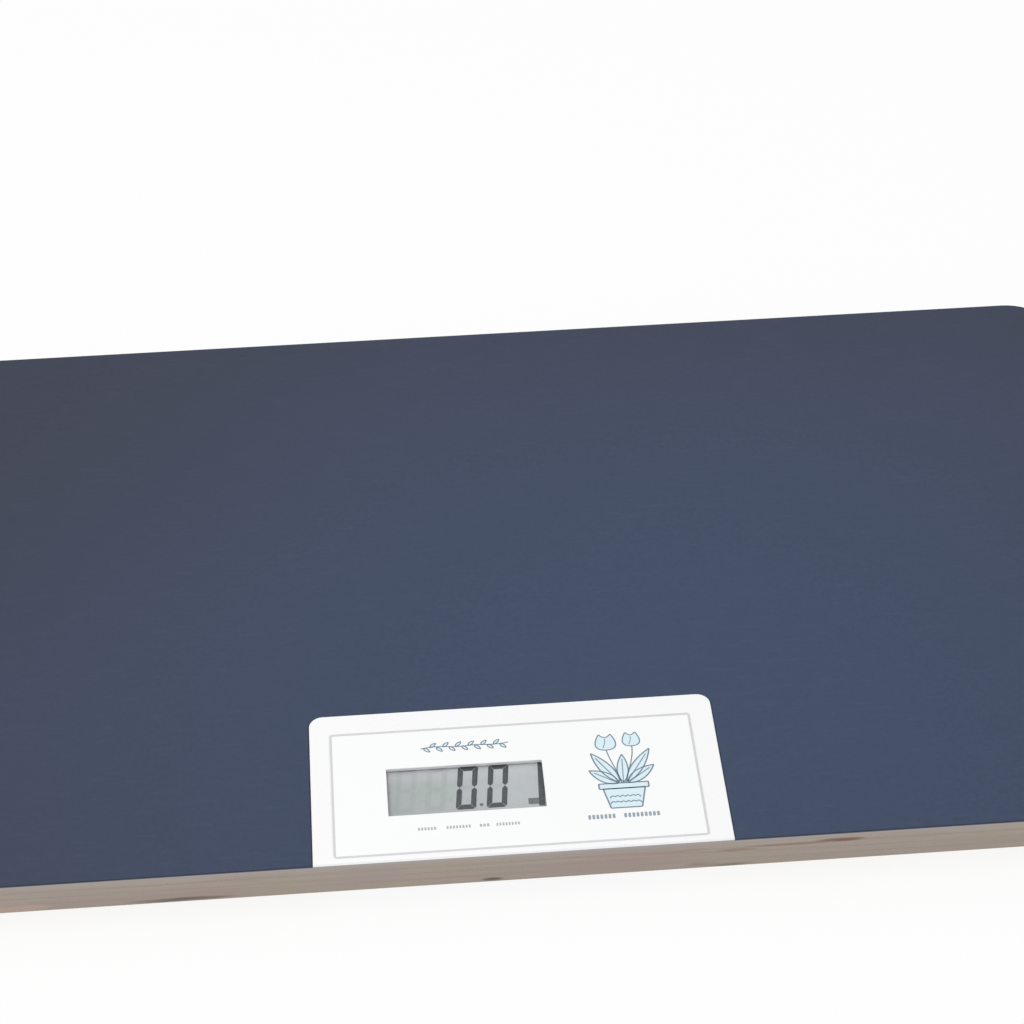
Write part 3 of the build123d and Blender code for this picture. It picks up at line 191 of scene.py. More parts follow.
class Nodes:
    """A node tree that is put together step by step."""

    def __init__(self, tree):
        self.tree = tree

    def feed(self, socket, value):
        """Gives a socket a fixed value or another node's output."""
        if isinstance(value, bpy.types.NodeSocket):
            self.tree.links.new(value, socket)
        else:
            socket.default_value = value

    def put(self, kind, inputs=None, output=0, **settings):
        """Adds a node with its settings and inputs, and gives one of its outputs if it has any."""
        made = self.tree.nodes.new("ShaderNode" + kind)
        for name, value in settings.items():
            setattr(made, name, value)
        for name, value in (inputs or {}).items():
            self.feed(made.inputs[name], value)
        return made.outputs[output] if made.outputs else None

    def sum(self, operation, first, second=0.0):
        """One arithmetic step."""
        return self.put("Math", {0: first, 1: second}, operation=operation)

    def times(self, first, second):
        """The product of two values."""
        return self.sum("MULTIPLY", first, second)

    def gap(self, first, second):
        """How far two values are apart."""
        return self.sum("ABSOLUTE", self.sum("SUBTRACT", first, second))

    def ramp(self, value, start, end, low=0.0, high=1.0, course="SMOOTHSTEP"):
        """Takes a value from start..end to low..high and no further; start may be above end."""
        limits = {"From Min": start, "From Max": end, "To Min": low, "To Max": high}
        return self.put("MapRange", {"Value": value, **limits}, "Result", interpolation_type=course)

    def mixed(self, share, first, second):
        """Two shaders mixed, with the given share of the second."""
        return self.put("MixShader", {0: share, 1: first, 2: second})


class Finish(Nodes):
    """A node material on the piece's own coordinates."""

    def __init__(self, name, colour, roughness, metallic=0.0, specular=0.5):
        self.material = bpy.data.materials.new(name)
        self.material.use_nodes = True
        super().__init__(self.material.node_tree)
        self.shader = self.tree.nodes["Principled BSDF"]
        self.place = self.put("TexCoord", output="Object")
        self.colour = (*colour, 1.0)
        self.roughness = roughness
        self.height = None
        self.set("Base Color", self.colour)
        self.set("Roughness", roughness)
        self.set("Metallic", metallic)
        self.set("Specular IOR Level", specular)

    def set(self, name, value):
        """Sets or feeds one of the shader's own sockets."""
        self.feed(self.shader.inputs[name], value)

    def stretched(self, x, y=None, z=None):
        """The piece's coordinates, so that a pattern repeats about x, y and z times in a metre."""
        return self.put("Mapping", {"Vector": self.place, "Scale": (x, y or x, z or x)}, "Vector")

    def noise(self, *scale, detail=3, rough=0.5, warp=0.0):
        """Soft noise from 0 to 1."""
        inputs = {"Detail": detail, "Roughness": rough, "Distortion": warp, "Scale": 1}
        return self.put("TexNoise", {"Vector": self.stretched(*scale), **inputs}, "Fac")

    def specks(self, *scale):
        """Distance to scattered points."""
        return self.put("TexVoronoi", {"Vector": self.stretched(*scale), "Scale": 1}, "Distance")

    def axis(self, name):
        """One of the piece's coordinates, in metres."""
        return self.put("SeparateXYZ", {0: self.place}, name)

    def tint(self, share, colour):
        """Blends a colour over what the base colour is so far."""
        over = {0: share, 6: self.colour, 7: (*colour, 1.0)}
        self.colour = self.put("Mix", over, 2, data_type="RGBA")
        self.set("Base Color", self.colour)

    def veil(self, pattern, share, colour, start=0.35, end=0.7):
        """Tints by nothing at the pattern's start value and by a share at its end value."""
        self.tint(self.ramp(pattern, start, end, 0.0, share), colour)

    def worn(self, pattern, less, more, start=0.3, end=0.7):
        """Lets the roughness follow a pattern, from so much less to so much more than it is."""
        self.set("Roughness", self.ramp(pattern, start, end, self.roughness - less, self.roughness + more))

    def bump(self, pattern, depth):
        """Raises the surface by a pattern, depth millimetres at most, over the bumps it has already."""
        below = {"Normal": self.height} if self.height else {}
        self.height = self.put("Bump", {"Height": pattern, "Distance": depth * MM, **below}, "Normal")
        self.set("Normal", self.height)


def dress(finish, *names):
    """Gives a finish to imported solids, by their name or by the kind of the four at the corners."""
    for name in names:
        for solid in [NODES[name]] if name in NODES else [NODES[f"{name}_{corner}"] for corner in CORNERS]:
            if not solid.material_slots:
                solid.data.materials.append(finish.material)
            for place in solid.material_slots:
                place.material = finish.material


def mesh_from(bm, name):
    """A mesh of what was built."""
    mesh = bpy.data.meshes.new(name)
    bm.to_mesh(mesh)
    bm.free()
    return mesh


def shown(name, data):
    """A new object in the scene."""
    thing = bpy.data.objects.new(name, data)
    bpy.context.scene.collection.objects.link(thing)
    return thing


def piece_from(bm, name, finish, body="platform"):
    """Makes a piece of a mesh that stands in its place already."""
    bmesh.ops.recalc_face_normals(bm, faces=bm.faces[:])
    piece = shown(name, mesh_from(bm, name))
    piece.data.materials.append(finish.material)
    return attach(piece, body)


def joined(bm, part, place):
    """Adds a part to a mesh, in its place."""
    part.transform(place)
    carrier = mesh_from(part, "carrier")
    bm.from_mesh(carrier)
    bpy.data.meshes.remove(carrier)


def laid(bm, part, height, place):
    """Raises a flat shape to a thin solid and adds it to a mesh, in its place."""
    made = bmesh.ops.extrude_face_region(part, geom=part.faces[:])["geom"]
    up = [corner for corner in made if isinstance(corner, bmesh.types.BMVert)]
    bmesh.ops.translate(part, vec=(0, 0, height), verts=up)
    joined(bm, part, place)


def flat(width, depth, middle=(0.0, 0.0), columns=1):
    """A flat rectangle, of one face or of several in a row."""
    part = bmesh.new()
    place = Matrix.Translation((*middle, 0)) @ Matrix.Diagonal((width, depth, 1, 1))
    bmesh.ops.create_grid(part, x_segments=columns, y_segments=1, size=0.5, matrix=place)
    return part


def tab(width, depth, corner, segments=1):
    """A flat rectangle with its corners cut, or rounded by several segments."""
    part = flat(width, depth)
    bmesh.ops.bevel(
        part, geom=part.verts[:], offset=corner, affect="VERTICES", segments=segments, profile=0.5,
        material=-1, clamp_overlap=True,
    )
    bmesh.ops.remove_doubles(part, verts=part.verts[:], dist=1e-7)
    return part


def inset(part, by, keep_rim=False):
    """Draws a flat shape in all round, and keeps what lies inside or the rim."""
    rim = bmesh.ops.inset_region(
        part, faces=part.faces[:], thickness=by, use_boundary=True, use_even_offset=True
    )["faces"]
    lost = [face for face in part.faces if (face in rim) != keep_rim]
    bmesh.ops.delete(part, geom=lost, context="FACES")
    return part


def on_plane(x, y, z, turn=0.0):
    """A place on a level plane."""
    return Matrix.Translation((x, y, z)) @ Matrix.Rotation(turn, 4, "Z")


def from_front(x, y, z, turn=0.0):
    """A place on a level plane, in millimetres from the board's middle and front edge."""
    return on_plane(x * MM, FRONT_Y + y * MM, z, turn)


# Board

PLIES = 9
# Middle of the facing's painted light, a bluer painted reflection that turns to painted shade further off, in
# its own stretched coordinates
PAINTED_LIGHT_PLACE = (-0.27, 0.38, 0)
PAINTED_LIGHT_SCALE = (3, 3.2, 0)
# Long marks in the front wood edge: x, z, half length and half height in millimetres, share and colour
EDGE_STREAKS = (
    (133, 26.4, 12, 1.4, 0.85, (118, 80, 72)),
    (110, 25.6, 21, 1, 0.7, (128, 94, 82)),
    (90, 24.3, 11, 1.2, 0.5, (134, 104, 92)),
    (-146, 15.8, 26, 1.3, 0.8, (98, 86, 84)),
    (-14, 15.7, 5, 1.2, 0.8, (90, 78, 76)),
    (-215, 17, 22, 3, 0.6, (186, 160, 148)),
    (-107, 21.5, 18, 8, 0.4, (160, 152, 132)),
    (-63, 23, 18, 7, 0.45, (160, 143, 144)),
    (45, 23, 34, 6.5, 0.45, (164, 141, 138)),
    (190, 19, 24, 5, 0.35, (156, 144, 142)),
)
STREAKS_END = FRONT_Y + 8 * MM
NO_STREAKS = FRONT_Y + 26 * MM
GLUED_DEPTH = 0.6 * MM


def facing_finish(colours):
    """Fine matt laminate: a shallow grain, painted light (a bluer painted reflection that turns to painted
    shade further off) and a darker cut edge.
    """
    made = Finish("facing_laminate", colours.facing, 0.5, specular=0.16)
    # Painted light: how far each point lies from the middle of the painted reflection
    painted_light = {"Vector": made.place, "Location": PAINTED_LIGHT_PLACE, "Scale": PAINTED_LIGHT_SCALE}
    span = made.put("VectorMath", {0: made.put("Mapping", painted_light)}, "Value", operation="LENGTH")
    reach = made.sum("ADD", span, made.times(made.noise(3, 3.4, detail=2), 0.5))
    # Painted reflection: bluer near that middle
    made.veil(reach, 1.0, screen(63, 76, 101), 1.7, 0.3)
    # Painted shade: darker far from it
    made.veil(reach, 0.75, screen(57, 60, 75), 0.9, 1.9)
    mottle = made.noise(420, detail=2, rough=0.6)
    made.veil(mottle, 0.14, toned(colours.facing, 0.6))
    made.veil(made.noise(90, 700, 300, detail=2), 0.06, screen(104, 112, 130), 0.55, 0.75)
    scuffs = made.noise(16, 240, 40, detail=4, rough=0.7, warp=0.4)
    made.veil(scuffs, 0.08, screen(112, 118, 130), 0.66, 0.78)
    made.veil(made.axis("Z"), 1.0, colours.facing_edge, FACING_TOP - 0.34 * MM, FACING_TOP - 0.5 * MM)
    made.worn(made.noise(60), 0.01, 0.03)
    made.bump(mottle, 0.012)
    made.bump(made.noise(1500, detail=1), 0.012)
    return made


def plywood_finish(colours):
    """Sanded birch plies on edge: grain along and into the edge in turn, glue lines, streaks and flecks."""
    made = Finish("plywood_edge", colours.long_grain, 0.6, specular=0.2)
    x, y, z = (made.axis(name) for name in "XYZ")
    made.veil(z, 0.8, screen(163, 150, 140), BOARD_HIGH.z - 1.5 * MM, BOARD_LOW.z)
    wave = made.times(made.noise(9, 9, 110), 2.6 * MM)
    height = made.sum("ADD", made.sum("SUBTRACT", z, BOARD_LOW.z), wave)
    count = made.sum("DIVIDE", height, (BOARD_HIGH.z - BOARD_LOW.z) / PLIES)
    normal = made.put("NewGeometry", output="Normal")
    turned = made.ramp(made.sum("ABSOLUTE", made.put("SeparateXYZ", {0: normal}, "X")), 0.6, 0.8)
    odd = made.ramp(made.sum("PINGPONG", count, 1.0), 0.42, 0.58)
    across = made.gap(odd, turned)
    made.tint(made.times(across, 0.5), colours.end_grain)
    grain = made.noise(26, 26, 1000, detail=4, rough=0.6)
    made.veil(grain, 0.3, toned(colours.long_grain, 0.74))
    pores = made.specks(900, 900, 1300)
    made.tint(made.times(made.ramp(pores, 0.3, 0.12, 0.0, 0.4), across), toned(colours.end_grain, 0.5))
    made.veil(made.gap(made.sum("FRACT", count), 0.5), 0.26, colours.glue_line, 0.44, 0.495)
    patches = made.noise(11, 11, 75, warp=0.5)
    made.veil(patches, 0.42, screen(158, 141, 136), 0.52, 0.7)
    made.veil(patches, 0.42, screen(164, 156, 137), 0.5, 0.34)
    made.veil(made.noise(8, 8, 300, warp=0.5), 0.5, colours.grain_streak, 0.62, 0.74)

    ragged = made.times(made.noise(60, 60, 420, detail=4), 1.6)
    ragged = made.sum("ADD", ragged, made.ramp(y, STREAKS_END, NO_STREAKS, 0.0, 4.0))
    for middle, level, half_length, half_height, share, colour in EDGE_STREAKS:
        along = made.sum("DIVIDE", made.sum("SUBTRACT", x, middle * MM), half_length * MM)
        up = made.sum("DIVIDE", made.sum("SUBTRACT", z, level * MM), half_height * MM)
        reach = made.sum("ADD", made.times(along, along), made.times(up, up))
        made.veil(made.sum("ADD", reach, ragged), share, screen(*colour), 1.9, 0.7)

    low = made.ramp(z, BOARD_LOW.z + 5 * MM, BOARD_LOW.z + MM)
    knots = made.ramp(made.noise(13, 13, 120, detail=2), 0.62, 0.7, 0.0, 0.6)
    made.tint(made.times(low, knots), screen(92, 80, 78))
    made.veil(z, 0.7, screen(170, 164, 168), BOARD_HIGH.z - 3 * MM, BOARD_HIGH.z - GLUED_DEPTH)
    beside_plate = made.sum("GREATER_THAN", made.sum("ABSOLUTE", x), PLATE_HIGH.x)
    under_facing = made.sum("MAXIMUM", beside_plate, made.sum("GREATER_THAN", y, PLATE_HIGH.y))
    glued = made.ramp(z, BOARD_HIGH.z - GLUED_DEPTH, BOARD_HIGH.z - 0.35 * MM)
    made.tint(made.times(glued, under_facing), screen(92, 90, 98))
    made.worn(grain, 0.08, 0.1)
    made.bump(grain, 0.05)
    made.bump(pores, 0.04)
    return made


def veneer_finish(colours):
    """Sanded back veneer: grain and fibres along the board, open pores and a matt lacquer."""
    made = Finish("back_veneer", colours.veneer, 0.55, specular=0.35)
    rings = made.noise(2.2, 34, 34, detail=5, rough=0.6, warp=0.9)
    made.veil(rings, 0.65, colours.veneer_grain, 0.38, 0.66)
    fibres = made.noise(14, 900, 900, rough=0.65)
    made.veil(fibres, 0.38, toned(colours.veneer_grain, 0.7), 0.4, 0.7)
    pores = made.specks(110, 1500, 1500)
    made.veil(pores, 0.6, toned(colours.veneer_grain, 0.35), 0.24, 0.1)
    made.worn(fibres, 0.09, 0.09)
    made.bump(fibres, 0.05)
    made.bump(pores, 0.04)
    return made


class SCALE_OT_board(Operator):
    """Finish the plywood core, its top facing and its back veneer"""

    bl_idname = "scale.board"
    bl_label = "Board"

    def execute(self, context):
        colours = context.scene.scale_colours
        dress(facing_finish(colours), "top_facing")
        dress(plywood_finish(colours), "platform_board")
        dress(veneer_finish(colours), "underside_backing")
        return {"FINISHED"}


# Plastics, rubber and metal


def moulded(name, colour, roughness, grain=1600, depth=0.02, marks=0.06, sink=0.03):
    """Moulded plastic: fine spark-cut texture, faint flow marks and a little handling wear."""
    made = Finish(name, colour, roughness)
    flow = made.noise(26, 20, 40, warp=0.5)
    made.veil(flow, marks * 2, toned(colour, 0.86))
    texture = made.noise(grain, detail=1)
    made.veil(texture, marks, toned(colour, 0.7))
    made.worn(made.noise(70, 90, 60, detail=4, rough=0.7), 0.06, 0.07, end=0.72)
    made.bump(texture, depth)
    made.bump(flow, sink)
    return made


def rubber(name, colour, roughness=0.7):
    """Moulded rubber: dull, with a bloom of dust and a fine pitted skin."""
    made = Finish(name, colour, roughness, specular=0.3)
    bloom = made.noise(75, detail=4, rough=0.65)
    made.veil(bloom, 0.3, toned(colour, 0.7, 0.1), 0.45, 0.75)
    pits = made.specks(1300)
    made.veil(pits, 0.3, toned(colour, 0.5), 0.22, 0.08)
    made.worn(bloom, 0.08, 0.12)
    made.bump(pits, 0.05)
    return made


def metal(name, colour, roughness, scale, cast=None):
    """Rolled or plated metal: fine lines from rolling, cloudy plating and small tarnished spots."""
    made = Finish(name, colour, roughness, metallic=1.0)
    lines = made.noise(*scale, rough=0.6)
    made.veil(made.noise(120, warp=0.8), 0.4, cast or toned(colour, 0.78), 0.4, 0.75)
    made.veil(lines, 0.2, toned(colour, 0.6), 0.45, 0.7)
    made.veil(made.specks(400), 0.4, toned(colour, 0.35), 0.12, 0.04)
    made.worn(lines, 0.08, 0.12)
    made.bump(lines, 0.012)
    return made


def jacket(name, colour):
    """Extruded wire jacket: satin, slightly uneven and slightly dusty."""
    made = Finish(name, colour, 0.35)
    dust = made.noise(140)
    made.veil(dust, 0.25, toned(colour, 0.8, 0.06), 0.45, 0.75)
    made.worn(dust, 0.07, 0.12)
    made.bump(made.noise(900, detail=2), 0.02)
    return made


# Display unit


def label_finish(colours):
    """Printed film: satin, with the faint print screen and a soft unevenness under it."""
    made = Finish("label_film", colours.label, 0.36)
    made.veil(made.specks(2600), 0.03, toned(colours.label, 0.8), 0.5, 0.1)
    cloud = made.noise(24, detail=2)
    made.veil(cloud, 0.05, screen(236, 243, 247), 0.45, 0.75)
    made.worn(cloud, 0.04, 0.06)
    made.bump(made.noise(700, detail=2), 0.006)
    return made


def plate_finish(colours):
    """Semi-gloss white moulding: nearly smooth, with painted shade in grey on the window's walls."""
    made = moulded("plate_plastic", colours.plate, 0.3, 2600, depth=0.0006, marks=0.008, sink=0.003)
    # Painted shade: the window's walls below the label are tinted grey
    wall_shade = made.sum("LESS_THAN", made.axis("Z"), LABEL_LOW.z - 0.02 * MM)
    for n, name in enumerate("XY"):
        low, high = WINDOW_LOW[n], WINDOW_HIGH[n]
        off = made.gap(made.axis(name), (low + high) / 2)
        wall_shade = made.times(wall_shade, made.sum("LESS_THAN", off, (high - low) / 2 + 0.12 * MM))
    made.tint(wall_shade, screen(222, 225, 231))
    return made


def lens_finish():
    """Clear window: barely tinted and glossy, with hair-fine scratches and a little dust."""
    made = Finish("clear_window", screen(120, 130, 130), 0.06)
    made.set("IOR", 1.49)
    made.set("Alpha", made.ramp(made.noise(300, rough=0.7), 0.5, 0.8, 0.07, 0.12))
    scratches = made.noise(30, 1800, 1800, detail=1, warp=0.3)
    made.worn(scratches, 0.01, 0.14, 0.55, 0.75)
    return made


def reading_ground_finish(colours):
    """Liquid-crystal glass: grey-green satin polariser with a speckled reflector behind it, painted shade
    towards the left and painted light towards the top.
    """
    made = Finish("display_glass", colours.reading_ground, 0.34, specular=0.3)
    x, y = made.axis("X"), made.axis("Y")
    # Painted shade: the ground darkens towards the cell's left
    made.veil(x, 0.95, screen(190, 195, 194), CELL_HIGH.x - 10 * MM, CELL_LOW.x)
    across = made.ramp(made.gap(x, CELL_LOW.x + 22 * MM), 13 * MM, 2 * MM)
    up = made.ramp(made.gap(y, WINDOW_LOW.y + 14 * MM), 9 * MM, 3 * MM)
    made.tint(made.times(made.times(across, up), 0.45), screen(180, 204, 190))
    # Painted light: the ground is lighter towards the window's top, and nearly white in a thin line along its
    # top edge, over the shade under the wall
    made.veil(y, 0.5, screen(234, 237, 239), WINDOW_HIGH.y - 9 * MM, WINDOW_HIGH.y)
    made.veil(y, 1.0, screen(250, 251, 252), WINDOW_HIGH.y - 0.3 * MM, WINDOW_HIGH.y + 0.4 * MM)
    speckle = made.noise(1700, detail=2, rough=0.7)
    made.veil(speckle, 0.2, screen(176, 181, 183))
    made.veil(made.specks(1100), 0.12, screen(226, 229, 231), 0.3, 0.05)
    made.worn(speckle, 0.04, 0.06)
    made.bump(speckle, 0.01)
    return made


def inked(name, colour, roughness=0.5, cover_share=1.0):
    """Screen-printed ink: slightly uneven cover and a dry surface."""
    made = Finish(name, colour, roughness, specular=0.3)
    made.set("Alpha", cover_share)
    cover = made.noise(1400, detail=2, rough=0.7)
    made.veil(cover, 0.22, toned(colour, 0.6, 0.4), 0.45, 0.75)
    made.worn(cover, 0.08, 0.1)
    made.bump(cover, 0.004)
    return made


class SCALE_OT_display(Operator):
    """Finish the plate, label film, window and liquid-crystal cell"""

    bl_idname = "scale.display"
    bl_label = "Display unit"

    def execute(self, context):
        colours = context.scene.scale_colours
        dress(plate_finish(colours), "display_housing")
        dress(label_finish(colours), "display_label")
        dress(lens_finish(), "window_lens")
        dress(reading_ground_finish(colours), "lcd_cell")
        dress(moulded("frame_plastic", screen(62, 63, 66), 0.5), "lcd_frame")
        dress(rubber("strip_rubber", screen(222, 178, 186), 0.6), "contact_strips")
        return {"FINISHED"}


# Print

# The plant and the sprig, in millimetres from the foot of the pot and the middle of the sprig
POT = ((-6.6, 0), (-9, 11), (9, 11), (6.6, 0))
RIM = ((-10.6, 11), (-10.6, 14), (10.6, 14), (10.6, 11))
WAVE_LEVELS = (3.4, 6.6)
WAVE_TURNS = 12
WAVE_SWING = 1
# Foot, tip and half width of each leaf, and foot, height and half width of each bud
LEAVES = (
    ((-2, 14), (-14, 22), 4.4),
    ((2, 14), (14, 23.5), 4.4),
    ((-1.6, 14.6), (-12.4, 32), 4.2),
    ((1.8, 14.6), (13, 33), 4),
    ((0.1, 14.4), (0.9, 30.5), 3.8),
)
BUDS = (((-5.4, 33.6), 9.2, 6.2), ((5.8, 35.2), 8, 5.2))
STEMS = (
    ((-0.8, 14), (-1.2, 20), (-4.6, 27), (-5.4, 33.6)),
    ((1, 14), (2.4, 20), (6, 28), (5.8, 35.2)),
)
SPRIG_PLACE = (-21.2, 62)
SPRIG_STEM = ((-19, -0.4), (-12, 1.2), (-4, -1.2), (5, 1), (13, -0.8), (19, 0.6))
SPRIG_LEAVES = 13
SPRIG_START = -17.6
SPRIG_PITCH = 2.75
SPRIG_REACH = 2.5
SPRIG_WIDTH = 1.15
THIN = 0.8
# The first wash's share of the ink's height, and how much more each next one has, so that no two are level
FIRST_WASH, NEXT_WASH = 0.3, 0.06
SPRIG_WASH = 0.4
# Small print as dashes: piece, ink, place from the front edge, then a dash's length, height and gap, and
# where each word starts and ends, all in millimetres
DASH_ROWS = (
    ("label_dashes", "small_print_ink", 15.7, (0.8, 1.7, 0.5),
     ((-43.6, -36), (-31.6, -21.4), (-17.6, -13.6), (-10.6, -0.8))),
    ("label_caption_dashes", "caption_ink", 16.2, (1.15, 2.5, 0.6), ((28.2, 39.6), (43.4, 58.4))),
)
LABEL_CORNER = 1.5 * MM
BORDER_SETBACK = 0.05 * MM
PRINT_SINK = 0.005 * MM
MEETING = 0.01 * MM


def drawn(points, width=0.0):
    """A smooth curve led by its points, in millimetres on a flat sheet, as a bare line or as a cord."""
    curve = bpy.data.curves.new("path", "CURVE")
    curve.dimensions = "3D"
    curve.resolution_u = 6
    curve.bevel_depth = width / 2
    curve.bevel_resolution = 1
    curve.use_fill_caps = True
    line = curve.splines.new("NURBS")
    line.points.add(len(points) - 1)
    for knot, (x, y) in zip(line.points, points):
        knot.co = (x * MM, y * MM, 0, 1)
    line.order_u = min(4, len(points))
    line.use_endpoint_u = True
    holder = bpy.data.objects.new("holder", curve)
    mesh = bpy.data.meshes.new_from_object(holder)
    part = bmesh.new()
    part.from_mesh(mesh)
    for data, owner in ((holder, bpy.data.objects), (mesh, bpy.data.meshes), (curve, bpy.data.curves)):
        owner.remove(data)
    return part


def stroke(bm, points, width, ink, place):
    """Adds a drawn line: a thin cord along the curve, pressed flat."""
    pressed = Matrix.Translation((0, 0, ink / 2)) @ Matrix.Diagonal((1, 1, ink / width, 1))
    joined(bm, drawn(points, width), place @ pressed)


def drawn_shape(lines, washes, sides, size, ink, share, place):
    """Adds a shape of curves that meet at their ends, with a wash in it of a share of the ink's height."""
    part = bmesh.new()
    for points in sides:
        joined(part, drawn(points), Matrix())
        stroke(lines, points, size, ink, place)
    bmesh.ops.remove_doubles(part, verts=part.verts[:], dist=MEETING)
    bmesh.ops.edgeloop_fill(part, edges=part.edges[:])
    laid(washes, part, ink * share, place)


def ring_of(corners):
    """The straight sides between corners, and back to the first."""
    return [list(pair) for pair in zip(corners, corners[1:] + corners[:1])]


def leaf_sides(foot, tip, width):
    """The two sides of a pointed leaf, widest near its foot."""
    foot, tip = Vector(foot), Vector(tip)
    along = tip - foot
    side = Vector((-along.y, along.x)).normalized() * width
    return [
        [foot, foot + along * 0.28 + side * turn, foot + along * 0.72 + side * turn * 0.62, tip]
        for turn in (1, -1)
    ]


def bud_sides(foot, height, width):
    """The two sides of a bud, which is open at the top."""
    x, y = foot
    shares = ((1.0, 0.0), (0.75, 0.6), (0.4, 1.0))
    return [[foot, *((x + turn * width * out, y + height * up) for out, up in shares)] for turn in (1, -1)]


def draw_plant(lines, washes, size, ink, place):
    """A potted plant with two buds, drawn in thin lines over a pale wash."""
    shapes = [ring_of(POT), ring_of(RIM)]
    marks = []
    for foot, tip, width in LEAVES:
        shapes.append(leaf_sides(foot, tip, width))
        foot, tip = Vector(foot), Vector(tip)
        marks.append([foot, foot.lerp(tip, 0.5), foot.lerp(tip, 0.84)])
    for (x, y), height, width in BUDS:
        sides = bud_sides((x, y), height, width)
        shapes.append([*sides, [sides[0][-1], (x, y + height * 0.6), sides[1][-1]]])
        tip = (x, y + height * 0.72)
        marks.append([(x - width * 0.22, y + height * 0.12), (x - 0.1, y + height * 0.4), tip])
    left, right = POT[0][0], POT[-1][0]
    for level in WAVE_LEVELS:
        swings = [level + (WAVE_SWING if n % 2 else -WAVE_SWING) for n in range(WAVE_TURNS + 1)]
        marks.append([(left + (right - left) * n / WAVE_TURNS, y) for n, y in enumerate(swings)])
    for n, sides in enumerate(shapes):
        drawn_shape(lines, washes, sides, size, ink, FIRST_WASH + NEXT_WASH * n, place)
    for points in (*marks, *STEMS):
        stroke(lines, points, size * THIN, ink, place)


def draw_sprig(lines, washes, size, ink, place):
    """A small lying sprig with a leaf on each side in turn."""
    stroke(lines, SPRIG_STEM, size, ink, place)
    for n in range(SPRIG_LEAVES):
        x = SPRIG_START + SPRIG_PITCH * n
        side = 1 if n % 2 else -1
        sides = leaf_sides((x, side * 0.1), (x + SPRIG_REACH, side * SPRIG_REACH), SPRIG_WIDTH)
        drawn_shape(lines, washes, sides, size, ink, SPRIG_WASH, place)


def dash_row(bm, words, row, length, height, gap, ink, z):
    """Adds dashes that fill the words' places, all in millimetres but the ink and the level."""
    for start, end in words:
        count = max(1, round((end - start + gap) / (length + gap)))
        pitch = (end - start + gap) / count
        for n in range(count):
            dash = tab((pitch - gap) * MM, height * MM, 0.25 * min(pitch - gap, height) * MM)
            laid(bm, dash, ink, from_front(start + pitch * (n + 0.5) - gap / 2, row, z))


class SCALE_OT_label_print(Operator):
    """Print the frame line, the drawing, the sprig and the dashes on the label"""

    bl_idname = "scale.label_print"
    bl_label = "Label print"

    def execute(self, context):
        colours, sizes = context.scene.scale_colours, context.scene.scale_print
        z = LABEL_HIGH.z - PRINT_SINK
        middle, span = (LABEL_LOW + LABEL_HIGH) / 2, LABEL_HIGH - LABEL_LOW
        # The frame line is print that also paints the shade along the label's recess edge
        border = bmesh.new()
        ring = inset(tab(span.x, span.y, LABEL_CORNER, 5), BORDER_SETBACK)
        ring = inset(ring, sizes.border_width, keep_rim=True)
        laid(border, ring, sizes.ink, on_plane(middle.x, middle.y, z))
        piece_from(border, "label_frame_line", inked("border_ink", colours.border_ink))

        lines, washes = bmesh.new(), bmesh.new()
        plant = on_plane(sizes.drawing_x, FRONT_Y + sizes.drawing_y, z)
        draw_plant(lines, washes, sizes.drawing_line, sizes.ink, plant)
        draw_sprig(lines, washes, sizes.drawing_line * THIN, sizes.ink, from_front(*SPRIG_PLACE, z))
        piece_from(lines, "label_drawing_lines", inked("drawing_ink", colours.drawing_ink))
        pale = inked("drawing_wash", colours.drawing_wash)
        piece_from(washes, "label_drawing_washes", pale)

        for name, ink, row, dash, words in DASH_ROWS:
            dashes = bmesh.new()
            dash_row(dashes, words, row, *dash, sizes.ink, z)
            piece_from(dashes, name, inked(ink, getattr(colours, ink)))
        return {"FINISHED"}


# Reading

ALL_BARS = ("top", "bottom", "upper_left", "upper_right", "lower_left", "lower_right", "middle")
NOUGHT_BARS = ALL_BARS[:-1]
CORNER_CUT = 0.42
# Level bars are this much thicker than upright ones
LEVEL_SHARE = 1.14
CELL_SINK = 0.01 * MM
LIT, FAINT, UNLIT = 0.06 * MM, 0.05 * MM, 0.02 * MM
# The mark at the right and the point, in millimetres from the board's middle and front edge
POST_FOOT, POST_TOP = Vector((9.65, 27)), Vector((10.95, 52.7))
POST_WIDTH = 2.65
POST_CORNER = 0.25
MARK_FOOT = (6.3, 29.9)
MARK_FOOT_SIZE = (4.6, 3.4)
POINT = (-15.95, 29.7)
POINT_SIZE = 1.6
POINT_CORNER = 0.6


def segment(bm, low, high, cuts, gap, ink, place):
    """Adds one segment: a rectangle cut by lines, drawn in by half the gap and raised."""
    low, high = Vector(low), Vector(high)
    part = flat(*(high - low), middle=(low + high) / 2)
    for spot, away in cuts:
        bmesh.ops.bisect_plane(
            part, geom=part.verts[:] + part.edges[:] + part.faces[:], plane_co=(*spot, 0),
            plane_no=(*away, 0), clear_outer=True,
        )
    laid(bm, inset(part, gap / 2), ink, place)


